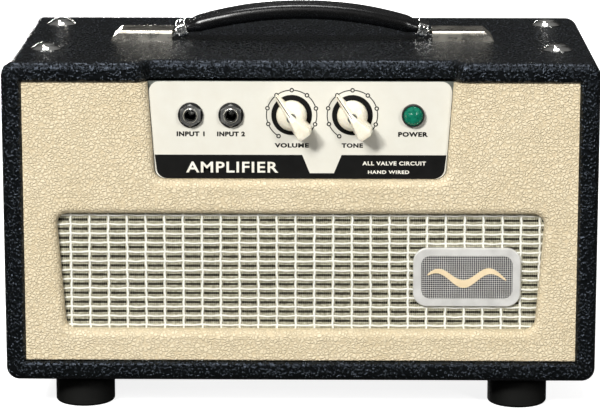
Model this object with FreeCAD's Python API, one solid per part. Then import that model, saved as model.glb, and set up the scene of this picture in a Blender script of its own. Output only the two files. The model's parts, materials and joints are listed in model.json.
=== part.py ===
"""Small guitar amplifier head: a vinyl-covered plywood cabinet with a hung chassis.

Millimetres. X runs to the right as seen from the front, Y to the back and Z up. The origin is
on the floor, under the middle of the cabinet. Each sub-part is written to parts/NODE.step.
"""
import FreeCAD
import Part

import math
import os

V = FreeCAD.Vector

# ---------------------------------------------------------------- driving sizes
WIDTH = 375.0                # cabinet, outside the covering
DEPTH = 200.0
BODY_HEIGHT = 205.0
FOOT_HEIGHT = 22.0
FOOT_R = 19.05
FOOT_INSET = 47.5            # foot centres from the cabinet's sides
FOOT_SETBACK = 36.0          # foot centres from the front and back
FOOT_EDGE_R = 2.0
FOOT_SOCKET_R = 7.0          # recess for the screw head
FOOT_SOCKET_DEPTH = 12.0

BOARD = 11.0                 # plywood
SKIN = 0.75                  # black vinyl
CORNER_R = 8.3               # cabinet corners, seen from the front
EDGE_R = 5.0                 # outer bullnose of the front and back edges
INNER_EDGE_R = 3.0
NOTCH_DEPTH = 11.0           # step in the top board's front edge above the controls
NOTCH_HALF_FRONT = 100.5
NOTCH_HALF_BACK = 93.5
NOTCH_R = 7.0
SKIN_TURN = 6.0              # vinyl turned under, past the notch
SKIN_TURN_BACK = 20.0
FINGERS = 11                 # finger joints along each corner

PANEL_RECESS = 2.5           # cream front panel, behind the cabinet's front edge
PANEL_T = 6.5
PANEL_COVER = 0.6            # cream vinyl
PANEL_GAP = 0.4
LIP_R = 5.0                  # rounded lip of both openings
PANEL_EDGE_R = 1.2

CUTOUT_DROP = 62.5           # control cutout, down from the top of the cabinet's opening
CUTOUT_HALF_TOP = 96.0
CUTOUT_HALF_BOTTOM = 91.6
CUTOUT_R = 6.5
RAIL = 22.2                  # panel left between the two openings
SILL = 20.3                  # panel left under the grille
GRILLE_SIDE_TOP = 20.5       # panel left at each side of the grille
GRILLE_SIDE_BOTTOM = 26.2
GRILLE_R = 7.0

CLOTH_T = 0.8
FRAME_T = 8.0                # plywood frame that the cloth is stretched on
FRAME_TOP_GAP = 1.5          # frame to chassis
FRAME_BORDER = 4.0           # frame opening outside the panel's opening
CLOTH_MARGIN = 1.5

BADGE_INSET = 49.0           # badge centre from the grille's top right corner
BADGE_DROP = 3.4             # and below the grille's middle
BADGE_W = 68.0
BADGE_H = 38.0
BADGE_T = 2.4
BADGE_R = 9.0
BADGE_GAP = 0.3
BADGE_RIM = 5.0
BADGE_DISH = 0.9             # depth of the badge's sunk middle
BADGE_EDGE_R = 0.7
STUD_R = 1.2
STUD_SPACING = 44.0
STUD_NUT_R = 3.5
STUD_NUT_T = 1.0

CHASSIS_T = 1.5
CHASSIS_HEIGHT = 63.3
CHASSIS_SIDE_GAP = 3.0
CHASSIS_FRONT_GAP = 0.2      # behind the cream panel
CHASSIS_TOP_GAP = 0.2        # under the turned vinyl
CHASSIS_BACK_RECESS = 12.0   # rear wall, in front of the cabinet's back edge
CHASSIS_BEND_R = 2.0
FLANGE = 18.0

FACEPLATE_T = 1.2
FACEPLATE_GAP = 0.4
CONTROL_DROP = 21.5          # jacks, knobs and lamp, below the top of the cabinet's opening
JACK_X = (-69.0, -43.6)
VOLUME_X = -5.5
TONE_X = 32.6
LAMP_X = 70.7
POINTER_ANGLE = 127.4        # rest angle of both pointers, from +X towards +Z
BUSHING_R = 4.7              # three-eighth inch bushings
BUSHING_HOLE_GAP = 0.2
HEX_FLATS = 12.7
JACK_BORE_R = 3.25
JACK_PROUD = 5.2
JACK_WASHER_R = 7.9
JACK_WASHER_T = 1.4
JACK_NUT_T = 2.4
JACK_FLANGE_R = 7.2
JACK_FLANGE_T = 1.5
JACK_BODY = (15.0, 24.0, 14.0)       # width, length and height
JACK_BODY_END = 2.0          # closed end behind the plug's tip
JACK_NUT_R = 7.3             # corners of the nut, turned down

POT_R = 12.0
POT_L = 9.0
POT_PROUD = 3.5
POT_NUT_T = 2.2
SHAFT_R = 3.0
SHAFT_PROUD = 14.0
RUNNING_GAP = 0.05
KNOB_HUB_R = 9.6
KNOB_HUB_H = 8.5
KNOB_H = 16.0
KNOB_TIP = 16.0
KNOB_TAIL = 15.0
KNOB_GAP = 0.8
KNOB_RECESS = (8.0, 3.6)     # radius and depth of the hollow over the nut
KNOB_BORE_L = 13.5

LAMP_R = 7.25
LAMP_BODY_R = 6.0
LAMP_BODY_L = 24.0
JEWEL_R = 6.2
JEWEL_PROUD = 4.4
LAMP_BEZEL_T = 3.4

BOLT_INSET = 23.8            # chassis bolts, from the cabinet's sides
BOLT_SETBACK_FRONT = 55.6
BOLT_SETBACK_BACK = 37.7
BOLT_R = 2.5
BOLT_HOLE_GAP = 0.2
CUP_R = 9.7                  # finishing washer under each bolt head
CUP_H = 3.0
NUT_T = 4.0
NUT_FLATS = 8.0

HANDLE_Y = 5.0
CAP_L = 40.0
CAP_W = 27.0
CAP_H = 6.4
CAP_WALL = 1.1
CAP_SLOPE = 6.5
CAP_R = 2.2
STRAP_HALF = 75.5            # middle of the strap to each end
STRAP_W = 26.0
STRAP_T = 10.0
STRAP_END_H = 7.4            # strap's middle line above the cabinet top, at each end
STRAP_ARCH = 11.3            # and how much higher it is in the middle
FERRULE_L = 6.5
FERRULE_GAP = 3.3            # ferrule to cap; the tongue bridges it
FERRULE_W = 23.0
FERRULE_T = 9.0
FERRULE_WALL = 1.0
FERRULE_R = 2.5
TONGUE_T = 1.8
TONGUE_W = 14.0
TONGUE_TRAVEL = 3.0
BASE_T = 1.2
HANDLE_SCREW_R = 2.0
HANDLE_SCREW_INSET = 10.0    # from each end of the cap

BACK_T = 8.0                 # lower back panel
BACK_RECESS = 4.0
SLOT_W = 5.0
SLOT_H = 30.0
SLOT_PITCH = 16.0
SLOT_COUNT = 12
CLEAT = 12.0
SCREW_R = 1.8
SCREW_GAP = 0.1
WASHER_T = 1.4

REAR_DROP = 31.3             # rear fittings, below the chassis's top
SPEAKER_X = (55.0, 90.0)
INLET_INSET = 44.0           # mains inlet, from the chassis's side
FUSE_X = -88.0
SWITCH_X = -56.0
INLET_W = 27.0
INLET_H = 20.0
INLET_L = 22.0
INLET_FLANGE = 2.0
FUSE_R = 6.2
FUSE_L = 32.0
FUSE_CAP_R = 6.4
FUSE_CAP_L = 8.0
FUSE_FLANGE = (8.0, 2.5)     # radius and thickness
FUSE_BARREL_WALL = 0.9
CARTRIDGE = (2.6, 19.8, 4.2) # fuse's radius, length and distance inside the rear wall
SWITCH_R = 6.0
SWITCH_BODY = (14.0, 20.0, 30.0)     # width, length and height
SWITCH_PROUD = 9.0
LEVER_TILT = -12.5           # lever at rest, degrees above level
LEVER_L = 17.0
LEVER_PIN_R = 1.0
LEVER_PIN_HALF = 3.6
LEVER_PIVOT = 4.0            # pivot behind the rear wall

POWER_TUBE_X = -45.0
PREAMP_X = (0.0, 38.0)
TUBE_Y = 25.0
POWER_GLASS_R = 15.8
POWER_TUBE_L = 78.0
BASE_R = 16.6
BASE_L = 14.0
PREAMP_GLASS_R = 10.8
PREAMP_TUBE_L = 45.0
SHIELD_R = 12.8
SHIELD_T = 0.5
SHIELD_L = 47.0
SHIELD_LIP = 5.0
GLASS_T = 1.0
SOCKET_T = 2.5
SOCKET_RIM = 3.2             # socket's flange round its hole
SOCKET_L = 7.0

POWER_CORE = (72.0, 26.0, 60.0)      # width, stack and height
POWER_CORE_INSET = 63.0              # core centre from the cabinet's inner side
POWER_CORE_Y = 20.0
OUTPUT_CORE = (46.0, 20.0, 38.0)
OUTPUT_CORE_INSET = 57.0
OUTPUT_CORE_Y = 30.0
CORE_FOOT = 8.0              # foot, out from each side of a core
CORE_FOOT_T = 2.0
CORE_BOLT_OUT = 4.0          # bolt, out from each side of a core
CORE_HOLE_R = 1.6
COIL_GAP = 0.3
COIL_R = 3.0
COVER_WALL = 1.2
COVER_R = 6.0
LEAD_HOLE_R = 3.2

BOARD_PCB = (240.0, 96.0, 1.6)
PCB_LIFT = 12.5              # board above the chassis floor
POST_INSET = 8.0             # posts, from the board's edges
POST_R = 3.0
POST_NECK_R = 1.6
FILTER_CAP = (8.0, 38.0)     # radius and length
FILTER_CAP_X = 60.0
FILTER_CAP_ROWS = (-22.0, 0.0, 22.0)
SIGNAL_CAP = (3.6, 18.0)
SIGNAL_CAP_COLUMNS = (-92.0, -64.0, -36.0, -8.0, 20.0)
SIGNAL_CAP_ROWS = (-28.0, 12.0)
CAP_LIFT = 0.2               # can above the board

# ---------------------------------------------------------------- worked-out planes
BODY_BOTTOM = FOOT_HEIGHT
BODY_TOP = BODY_BOTTOM + BODY_HEIGHT
WALL = BOARD + 2 * SKIN
FRONT = -DEPTH / 2
BACK = DEPTH / 2
OPEN_HALF = WIDTH / 2 - WALL
OPEN_BOTTOM = BODY_BOTTOM + WALL
OPEN_TOP = BODY_TOP - WALL
PANEL_FRONT = FRONT + PANEL_RECESS
PANEL_BACK = PANEL_FRONT + PANEL_T
CLOTH_BACK = PANEL_BACK + CLOTH_T
CHASSIS_TOP = OPEN_TOP - CHASSIS_TOP_GAP
CHASSIS_BOTTOM = CHASSIS_TOP - CHASSIS_HEIGHT
CHASSIS_HALF = OPEN_HALF - CHASSIS_SIDE_GAP
CHASSIS_FRONT = PANEL_BACK + CHASSIS_FRONT_GAP
CHASSIS_BACK = BACK - CHASSIS_BACK_RECESS
FACE_FRONT = CHASSIS_FRONT - FACEPLATE_T
FRAME_TOP = CHASSIS_BOTTOM - FRAME_TOP_GAP
CONTROL_Z = OPEN_TOP - CONTROL_DROP
REAR_Z = CHASSIS_TOP - REAR_DROP
PCB_Z = CHASSIS_BOTTOM + CHASSIS_T + PCB_LIFT
CUTOUT_BOTTOM = OPEN_TOP - CUTOUT_DROP
GRILLE_TOP = CUTOUT_BOTTOM - RAIL
GRILLE_BOTTOM = OPEN_BOTTOM + SILL
GRILLE_HALF_TOP = OPEN_HALF - GRILLE_SIDE_TOP
GRILLE_HALF_BOTTOM = OPEN_HALF - GRILLE_SIDE_BOTTOM
BADGE_X = GRILLE_HALF_TOP - BADGE_INSET
BADGE_Z = (GRILLE_BOTTOM + GRILLE_TOP) / 2 - BADGE_DROP
FOOT_X = WIDTH / 2 - FOOT_INSET
BOLT_X = WIDTH / 2 - BOLT_INSET
BOLT_Y = (FRONT + BOLT_SETBACK_FRONT, BACK - BOLT_SETBACK_BACK)
INLET_X = -CHASSIS_HALF + INLET_INSET
POWER_CORE_AT = (OPEN_HALF - POWER_CORE_INSET, POWER_CORE_Y)
OUTPUT_CORE_AT = (OUTPUT_CORE_INSET - OPEN_HALF, OUTPUT_CORE_Y)
STRAP_RISE = STRAP_END_H + STRAP_ARCH
STRAP_R = (STRAP_HALF ** 2 + STRAP_ARCH ** 2) / (2 * STRAP_ARCH)
STRAP_ANGLE = math.degrees(math.asin(STRAP_HALF / STRAP_R))
HANDLE_CAP_INNER = STRAP_HALF + FERRULE_L * math.cos(math.radians(STRAP_ANGLE)) + FERRULE_GAP
SCREW_HEIGHTS = (OPEN_BOTTOM + 15.0, FRAME_TOP - 16.0)
BIG = 1000.0


# ---------------------------------------------------------------- helpers
def box(x0, x1, y0, y1, z0, z1):
    return Part.makeBox(x1 - x0, y1 - y0, z1 - z0, V(x0, y0, z0))


def rod(radius, start, end):
    """A cylinder from one point to another."""
    start, end = V(*start), V(*end)
    return Part.makeCylinder(radius, (end - start).Length, start, end - start)


def tube(outer, inner, start, end):
    return rod(outer, start, end).cut(rod(inner, start, end))


def rounded_outline(points, radii):
    """Edges of a closed outline of 3-D points, each corner rounded to its radius."""
    points = [V(*p) for p in points]
    count = len(points)
    entries, exits, middles = [], [], []
    for i, corner in enumerate(points):
        to_last = (points[i - 1] - corner).normalize()
        to_next = (points[(i + 1) % count] - corner).normalize()
        half = to_last.getAngle(to_next) / 2
        reach = radii[i] / math.tan(half)
        entries.append(corner + to_last * reach)
        exits.append(corner + to_next * reach)
        inward = (to_last + to_next).normalize()
        middles.append(corner + inward * (radii[i] / math.sin(half) - radii[i]))
    edges = []
    for i in range(count):
        if radii[i] > 0:
            edges.append(Part.Arc(entries[i], middles[i], exits[i]).toShape())
        following = (i + 1) % count
        if (entries[following] - exits[i]).Length > 1e-7:
            edges.append(Part.LineSegment(exits[i], entries[following]).toShape())
    return edges


def prism(points, radii, direction):
    """An outline of points, its corners rounded, extruded along a direction."""
    if not hasattr(radii, "__len__"):
        radii = [radii] * len(points)
    wire = Part.Wire(rounded_outline(points, radii))
    return Part.Face(wire).extrude(V(*direction))


def upright_plate(half_bottom, half_top, z0, z1, radii, y0, y1):
    """A plate in the XZ plane with slanted sides, radii from bottom left round to top left."""
    points = [(-half_bottom, y0, z0), (half_bottom, y0, z0), (half_top, y0, z1), (-half_top, y0, z1)]
    return prism(points, radii, (0, y1 - y0, 0))


def turned(profile, base=(0, 0, 0), axis=(0, 0, 1)):
    """A solid of revolution from (radius, height) points, stood at base along axis."""
    points = [V(r, 0, h) for r, h in profile]
    face = Part.Face(Part.makePolygon(points + [points[0]]))
    solid = face.revolve(V(0, 0, 0), V(0, 0, 1), 360)
    solid.Placement = FreeCAD.Placement(V(*base), FreeCAD.Rotation(V(0, 0, 1), V(*axis)))
    return solid


def hex_bar(flats, start, end, turn=0.0):
    """A hexagonal bar from one point to another along Y or Z."""
    start, end = V(*start), V(*end)
    circumradius = flats / math.sqrt(3)
    points = []
    for i in range(6):
        angle = math.radians(60 * i + turn)
        u, v = circumradius * math.cos(angle), circumradius * math.sin(angle)
        along_y = abs((end - start).y) > 1e-9
        points.append(start + (V(u, 0, v) if along_y else V(u, v, 0)))
    return Part.Face(Part.makePolygon(points + [points[0]])).extrude(end - start)


def mirrored(shape):
    return shape.mirror(V(0, 0, 0), V(1, 0, 0))


def fuse(shapes):
    shapes = list(shapes)
    return shapes[0].multiFuse(shapes[1:]).removeSplitter() if len(shapes) > 1 else shapes[0]


def cut_all(shape, tools):
    return shape.cut(Part.makeCompound(list(tools)))


def edges_where(shape, test):
    """Edges whose two ends and middle all pass a test on a point."""
    found = []
    for edge in shape.Edges:
        middle = edge.valueAt((edge.FirstParameter + edge.LastParameter) / 2)
        ends = [v.Point for v in edge.Vertexes]
        if all(test(p) for p in [middle, *ends]):
            found.append(edge)
    return found


def near(a, b):
    return abs(a - b) < 1e-4


def export(name, solids):
    """Writes one node. Every piece must be a closed, valid solid."""
    if not isinstance(solids, (list, tuple)):
        solids = [solids]
    pieces = [s for shape in solids for s in shape.Solids]
    for piece in pieces:
        if not piece.isValid() or piece.Volume <= 0:
            raise RuntimeError(f"{name} holds a bad solid")
    shape = pieces[0] if len(pieces) == 1 else Part.makeCompound(pieces)
    shape.exportStep(f"parts/{name}.step")
    NODES[name] = pieces


NODES = {}


# ---------------------------------------------------------------- cabinet
def notch_cutter(inset):
    """Plan of the step in the top board's front edge, cut through the top board."""
    front = FRONT + inset
    back = FRONT + NOTCH_DEPTH + inset
    run_out = NOTCH_HALF_FRONT + inset + 2 * NOTCH_R
    z0 = OPEN_TOP - SKIN
    points = [
        (-run_out, front, z0), (-NOTCH_HALF_FRONT - inset, front, z0),
        (-NOTCH_HALF_BACK - inset, back, z0), (NOTCH_HALF_BACK + inset, back, z0),
        (NOTCH_HALF_FRONT + inset, front, z0), (run_out, front, z0),
        (run_out, front - NOTCH_DEPTH, z0), (-run_out, front - NOTCH_DEPTH, z0),
    ]
    convex, hollow = NOTCH_R - inset, NOTCH_R + inset
    return prism(points, [0, convex, hollow, hollow, convex, 0, 0, 0], (0, 0, WALL + 2 * SKIN))


def cabinet_form(inset):
    """The cabinet's four walls as one form, each face moved in by inset."""
    half, y0, y1 = WIDTH / 2 - inset, FRONT + inset, BACK - inset
    z0, z1 = BODY_BOTTOM + inset, BODY_TOP - inset
    open_half, open_z0, open_z1 = OPEN_HALF + inset, OPEN_BOTTOM - inset, OPEN_TOP + inset
    outline = upright_plate(half, half, z0, z1, CORNER_R - inset, y0, y1)
    form = outline.cut(box(-open_half, open_half, -BIG, BIG, open_z0, open_z1))
    form = form.cut(notch_cutter(inset)).removeSplitter()
    notch_y = FRONT + NOTCH_DEPTH + inset + 1e-4

    def on_opening(p):
        inside = abs(p.x) < open_half + 1e-4 and open_z0 - 1e-4 < p.z < open_z1 + 1e-4
        return inside

    def front_outer(p):
        return (near(p.y, y0) and not on_opening(p)) or (near(p.z, z1) and p.y < notch_y)

    def front_inner(p):
        return (near(p.y, y0) and on_opening(p)) or (near(p.z, open_z1) and p.y < notch_y)

    def back_outer(p):
        return near(p.y, y1) and not on_opening(p)

    def back_inner(p):
        return near(p.y, y1) and on_opening(p)

    for test, radius in ((front_outer, EDGE_R), (back_outer, EDGE_R),
                         (front_inner, INNER_EDGE_R), (back_inner, INNER_EDGE_R)):
        form = form.makeFillet(radius - inset, edges_where(form, test))
    return form


def bolt_holes():
    """Holes down through the top for the chassis bolts."""
    return [rod(BOLT_R + BOLT_HOLE_GAP, (x, y, OPEN_TOP - 5), (x, y, BODY_TOP + 5))
            for x in (-BOLT_X, BOLT_X) for y in BOLT_Y]


def foot_places():
    reach = DEPTH / 2 - FOOT_SETBACK
    return [(x, y) for x in (-FOOT_X, FOOT_X) for y in (-reach, reach)]


def cleat_blocks():
    """Upright battens: two behind the grille frame and two that the back panel screws to."""
    wood_half = OPEN_HALF + SKIN
    front_y = CLOTH_BACK + FRAME_T
    back_y = BACK - BACK_RECESS - BACK_T
    front = box(wood_half - CLEAT, wood_half, front_y, front_y + CLEAT, OPEN_BOTTOM, FRAME_TOP)
    back = box(OPEN_HALF - CLEAT, OPEN_HALF, back_y - CLEAT, back_y, OPEN_BOTTOM, FRAME_TOP)
    return front, back


def build_cabinet():
    wood = cabinet_form(SKIN)
    skin = cabinet_form(0).cut(wood)
    lining = box(-OPEN_HALF - SKIN - 0.01, OPEN_HALF + SKIN + 0.01,
                 FRONT + NOTCH_DEPTH + SKIN_TURN, BACK - SKIN_TURN_BACK,
                 OPEN_BOTTOM - SKIN - 0.01, OPEN_TOP + SKIN + 0.01)
    skin = skin.cut(lining)
    holes = bolt_holes() + handle_screw_holes()
    foot_holes = [rod(SCREW_R + SCREW_GAP, (x, y, 0), (x, y, BODY_BOTTOM + SKIN + BOARD * 0.8))
                  for x, y in foot_places()]
    export("vinyl_covering", cut_all(skin, holes + foot_holes))

    wood = cut_all(wood, holes + foot_holes)
    inner_half, inner_bottom, inner_top = OPEN_HALF + SKIN, OPEN_BOTTOM - SKIN, OPEN_TOP + SKIN
    pitch = (DEPTH - 2 * SKIN) / FINGERS
    finger_slabs = [box(-BIG, BIG, FRONT + SKIN + i * pitch, FRONT + SKIN + (i + 1) * pitch, 0, BIG)
                    for i in range(1, FINGERS, 2)]
    fingers = Part.makeCompound(finger_slabs)
    above = box(-BIG, BIG, -BIG, BIG, inner_top, BIG)
    below = box(-BIG, BIG, -BIG, BIG, 0, inner_bottom)
    right = box(inner_half, BIG, -BIG, BIG, 0, BIG)
    left = mirrored(right)
    side_fingers = [end.common(fingers).common(side) for end in (above, below) for side in (left, right)]
    for name, end in (("cabinet_top", above), ("cabinet_bottom", below)):
        export(name, cut_all(wood.common(end), side_fingers))
    middle = box(-BIG, BIG, -BIG, BIG, inner_bottom, inner_top)
    for name, side in (("cabinet_side_left", left), ("cabinet_side_right", right)):
        keep = fuse([side.common(middle)] + [f for f in side_fingers if f.common(side).Volume > 1])
        export(name, wood.common(side).common(keep).removeSplitter())


def build_feet():
    feet, fasteners = [], []
    for x, y in foot_places():
        foot = rod(FOOT_R, (x, y, 0), (x, y, FOOT_HEIGHT))
        foot = foot.makeFillet(FOOT_EDGE_R, edges_where(foot, lambda p: near(p.z, 0)))
        foot = foot.cut(rod(FOOT_SOCKET_R, (x, y, 0), (x, y, FOOT_SOCKET_DEPTH)))
        foot = foot.cut(rod(SCREW_R + SCREW_GAP, (x, y, 0), (x, y, FOOT_HEIGHT)))
        feet.append(foot)
        seat = FOOT_SOCKET_DEPTH - WASHER_T
        washer = tube(FOOT_SOCKET_R - 0.4, SCREW_R + SCREW_GAP, (x, y, seat), (x, y, FOOT_SOCKET_DEPTH))
        tip = BODY_BOTTOM + SKIN + BOARD * 0.75
        screw = turned([(0, seat - 3.0), (2.6, seat - 3.0), (3.6, seat - 1.8), (3.6, seat),
                        (SCREW_R, seat), (SCREW_R, tip - 2), (0, tip)], (x, y, 0))
        fasteners += [washer, screw]
    export("rubber_feet", feet)
    export("foot_fasteners", fasteners)


# ---------------------------------------------------------------- front panel and grille
def panel_form(inset):
    """The cream front panel, each covered face moved in by inset."""
    half = OPEN_HALF - PANEL_GAP - inset
    z0, z1 = OPEN_BOTTOM + PANEL_GAP + inset, OPEN_TOP - PANEL_GAP - inset
    y0 = PANEL_FRONT + inset
    slope = (CUTOUT_HALF_TOP - CUTOUT_HALF_BOTTOM) / (OPEN_TOP - CUTOUT_BOTTOM)
    above = 10.0
    top_half = CUTOUT_HALF_TOP + inset + slope * above
    plate = box(-half, half, y0, PANEL_BACK, z0, z1)
    cutout = upright_plate(CUTOUT_HALF_BOTTOM + inset, top_half, CUTOUT_BOTTOM - inset, OPEN_TOP + above,
                           [CUTOUT_R + inset, CUTOUT_R + inset, 0, 0], y0 - 5, PANEL_BACK + 5)
    grille = upright_plate(GRILLE_HALF_BOTTOM + inset, GRILLE_HALF_TOP + inset, GRILLE_BOTTOM - inset,
                           GRILLE_TOP + inset, GRILLE_R + inset, y0 - 5, PANEL_BACK + 5)
    plate = plate.cut(cutout).cut(grille)

    def on_outline(p):
        return near(abs(p.x), half) or near(p.z, z0) or near(p.z, z1)

    lips = edges_where(plate, lambda p: near(p.y, y0) and abs(p.x) < half - 1 and z0 + 1 < p.z)
    lips = [e for e in lips if not all(near(v.Point.z, z1) for v in e.Vertexes)]
    plate = plate.makeFillet(LIP_R - inset, lips)
    outline = edges_where(plate, lambda p: near(p.y, y0) and on_outline(p) and not near(p.z, z1))
    sides = [e for e in outline if near(e.Vertexes[0].Point.x, e.Vertexes[-1].Point.x)]
    bottom = edges_where(plate, lambda p: near(p.y, y0) and near(p.z, z0))
    return plate.makeFillet(PANEL_EDGE_R - inset, sides + bottom)


def build_front():
    board = panel_form(PANEL_COVER)
    export("front_panel", board)
    export("front_panel_covering", panel_form(0).cut(board))

    front_y, back_y = CLOTH_BACK, CLOTH_BACK + FRAME_T
    half = OPEN_HALF - PANEL_GAP
    z0 = OPEN_BOTTOM + PANEL_GAP
    frame = box(-half, half, front_y, back_y, z0, FRAME_TOP)
    reach = GRILLE_HALF_TOP + FRAME_BORDER
    frame = frame.cut(box(-reach, reach, front_y - 1, back_y + 1,
                          GRILLE_BOTTOM - FRAME_BORDER, GRILLE_TOP + FRAME_BORDER))
    cloth = box(-half + CLOTH_MARGIN, half - CLOTH_MARGIN, PANEL_BACK, front_y,
                z0 + CLOTH_MARGIN, FRAME_TOP - CLOTH_MARGIN)
    cleat_front, cleat_back = cleat_blocks()
    screws, screw_holes = [], []
    screw_x = OPEN_HALF + SKIN - CLEAT / 2
    cleat_y = back_y + CLEAT
    for x in (-screw_x, screw_x):
        for z in SCREW_HEIGHTS:
            tip = front_y + 1.5
            screws.append(turned([(0, 0), (3.2, 0), (3.2, 1.6), (SCREW_R, 1.6),
                                  (SCREW_R, cleat_y - tip - 1), (0, cleat_y - tip + 1.6)],
                                 (x, cleat_y + 1.6, z), (0, -1, 0)))
            screw_holes.append(rod(SCREW_R + SCREW_GAP, (x, front_y + 0.5, z), (x, cleat_y, z)))
    export("grille_frame", cut_all(frame, screw_holes))
    back_holes = [rod(SCREW_R + SCREW_GAP, (x, BACK - 30, z), (x, BACK, z)) for x, z in back_screw_places()]
    cleats = [c for pair in (cleat_front, cleat_back) for c in (pair, mirrored(pair))]
    export("mounting_cleats", [cut_all(c, screw_holes + back_holes) for c in cleats])
    export("baffle_screws", screws)

    stud_places = [(BADGE_X - STUD_SPACING / 2, BADGE_Z), (BADGE_X + STUD_SPACING / 2, BADGE_Z)]
    stud_holes = [rod(STUD_R + 0.1, (x, PANEL_BACK - 1, z), (x, front_y + 1, z)) for x, z in stud_places]
    export("grille_cloth", cut_all(cloth, stud_holes))
    build_badge(stud_places)


def build_badge(stud_places):
    """A plain rounded badge with a raised rim, on two studs through the cloth."""
    back_y = PANEL_BACK - BADGE_GAP
    front_y = back_y - BADGE_T
    plate = upright_plate(BADGE_W / 2, BADGE_W / 2, BADGE_Z - BADGE_H / 2, BADGE_Z + BADGE_H / 2,
                          BADGE_R, front_y, back_y)
    plate = plate.makeFillet(BADGE_EDGE_R, edges_where(plate, lambda p: near(p.y, front_y)))
    inner_w, inner_h = BADGE_W / 2 - BADGE_RIM, BADGE_H / 2 - BADGE_RIM
    dish = upright_plate(inner_w, inner_w, BADGE_Z - inner_h, BADGE_Z + inner_h,
                         BADGE_R - BADGE_RIM * 0.6, front_y - 1, front_y + BADGE_DISH)
    badge = plate.cut(dish)
    badge.translate(V(BADGE_X, 0, 0))
    export("badge_plate", badge)
    studs = []
    for x, z in stud_places:
        length = BADGE_GAP + CLOTH_T + 4.0
        nut_at = BADGE_GAP + CLOTH_T + 0.2
        nut_end = nut_at + STUD_NUT_T
        profile = [(0, 0), (STUD_R, 0), (STUD_R, nut_at), (STUD_NUT_R, nut_at), (STUD_NUT_R, nut_end),
                   (STUD_R, nut_end), (STUD_R, length), (0, length)]
        studs.append(turned(profile, (x, back_y, z), (0, 1, 0)))
    export("badge_studs", studs)


# ---------------------------------------------------------------- back panel
def back_screw_places():
    return [(x, z) for x in (-OPEN_HALF + CLEAT / 2, OPEN_HALF - CLEAT / 2) for z in SCREW_HEIGHTS]


def build_back():
    y0, y1 = BACK - BACK_RECESS - BACK_T, BACK - BACK_RECESS
    half = OPEN_HALF - PANEL_GAP
    z0, z1 = OPEN_BOTTOM + PANEL_GAP, FRAME_TOP
    panel = box(-half, half, y0, y1, z0, z1)
    panel = panel.makeFillet(1.5, edges_where(panel, lambda p: near(p.y, y1)))
    middle = (z0 + z1) / 2
    slots = []
    for i in range(SLOT_COUNT):
        x = (i - (SLOT_COUNT - 1) / 2) * SLOT_PITCH
        for z in (middle - SLOT_H * 0.65, middle + SLOT_H * 0.65):
            points = [(x - SLOT_W / 2, y0 - 1, z - SLOT_H / 2), (x + SLOT_W / 2, y0 - 1, z - SLOT_H / 2),
                      (x + SLOT_W / 2, y0 - 1, z + SLOT_H / 2), (x - SLOT_W / 2, y0 - 1, z + SLOT_H / 2)]
            slots.append(prism(points, SLOT_W / 2 - 0.01, (0, BACK_T + 2, 0)))
    holes = [rod(SCREW_R + SCREW_GAP, (x, y0 - 1, z), (x, y1 + 1, z)) for x, z in back_screw_places()]
    export("back_panel", cut_all(panel, slots + holes))
    fasteners = []
    for x, z in back_screw_places():
        fasteners.append(turned([(SCREW_R + SCREW_GAP, 0), (5.2, 0), (5.2, 0.4), (4.0, 1.6), (3.6, 1.6),
                                 (SCREW_R + SCREW_GAP, 0.5)], (x, y1, z), (0, 1, 0)))
        fasteners.append(turned([(0, -BACK_T - CLEAT * 0.8), (SCREW_R, -BACK_T - CLEAT * 0.8 + 2),
                                 (SCREW_R, 0.6), (3.4, 1.7), (2.4, 2.3), (0, 2.6)], (x, y1, z), (0, 1, 0)))
    export("back_panel_fasteners", fasteners)


# ---------------------------------------------------------------- chassis
def front_hole_places():
    bushings = [(x, BUSHING_R) for x in (*JACK_X, VOLUME_X, TONE_X)]
    return bushings + [(LAMP_X, LAMP_BODY_R)]


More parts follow.
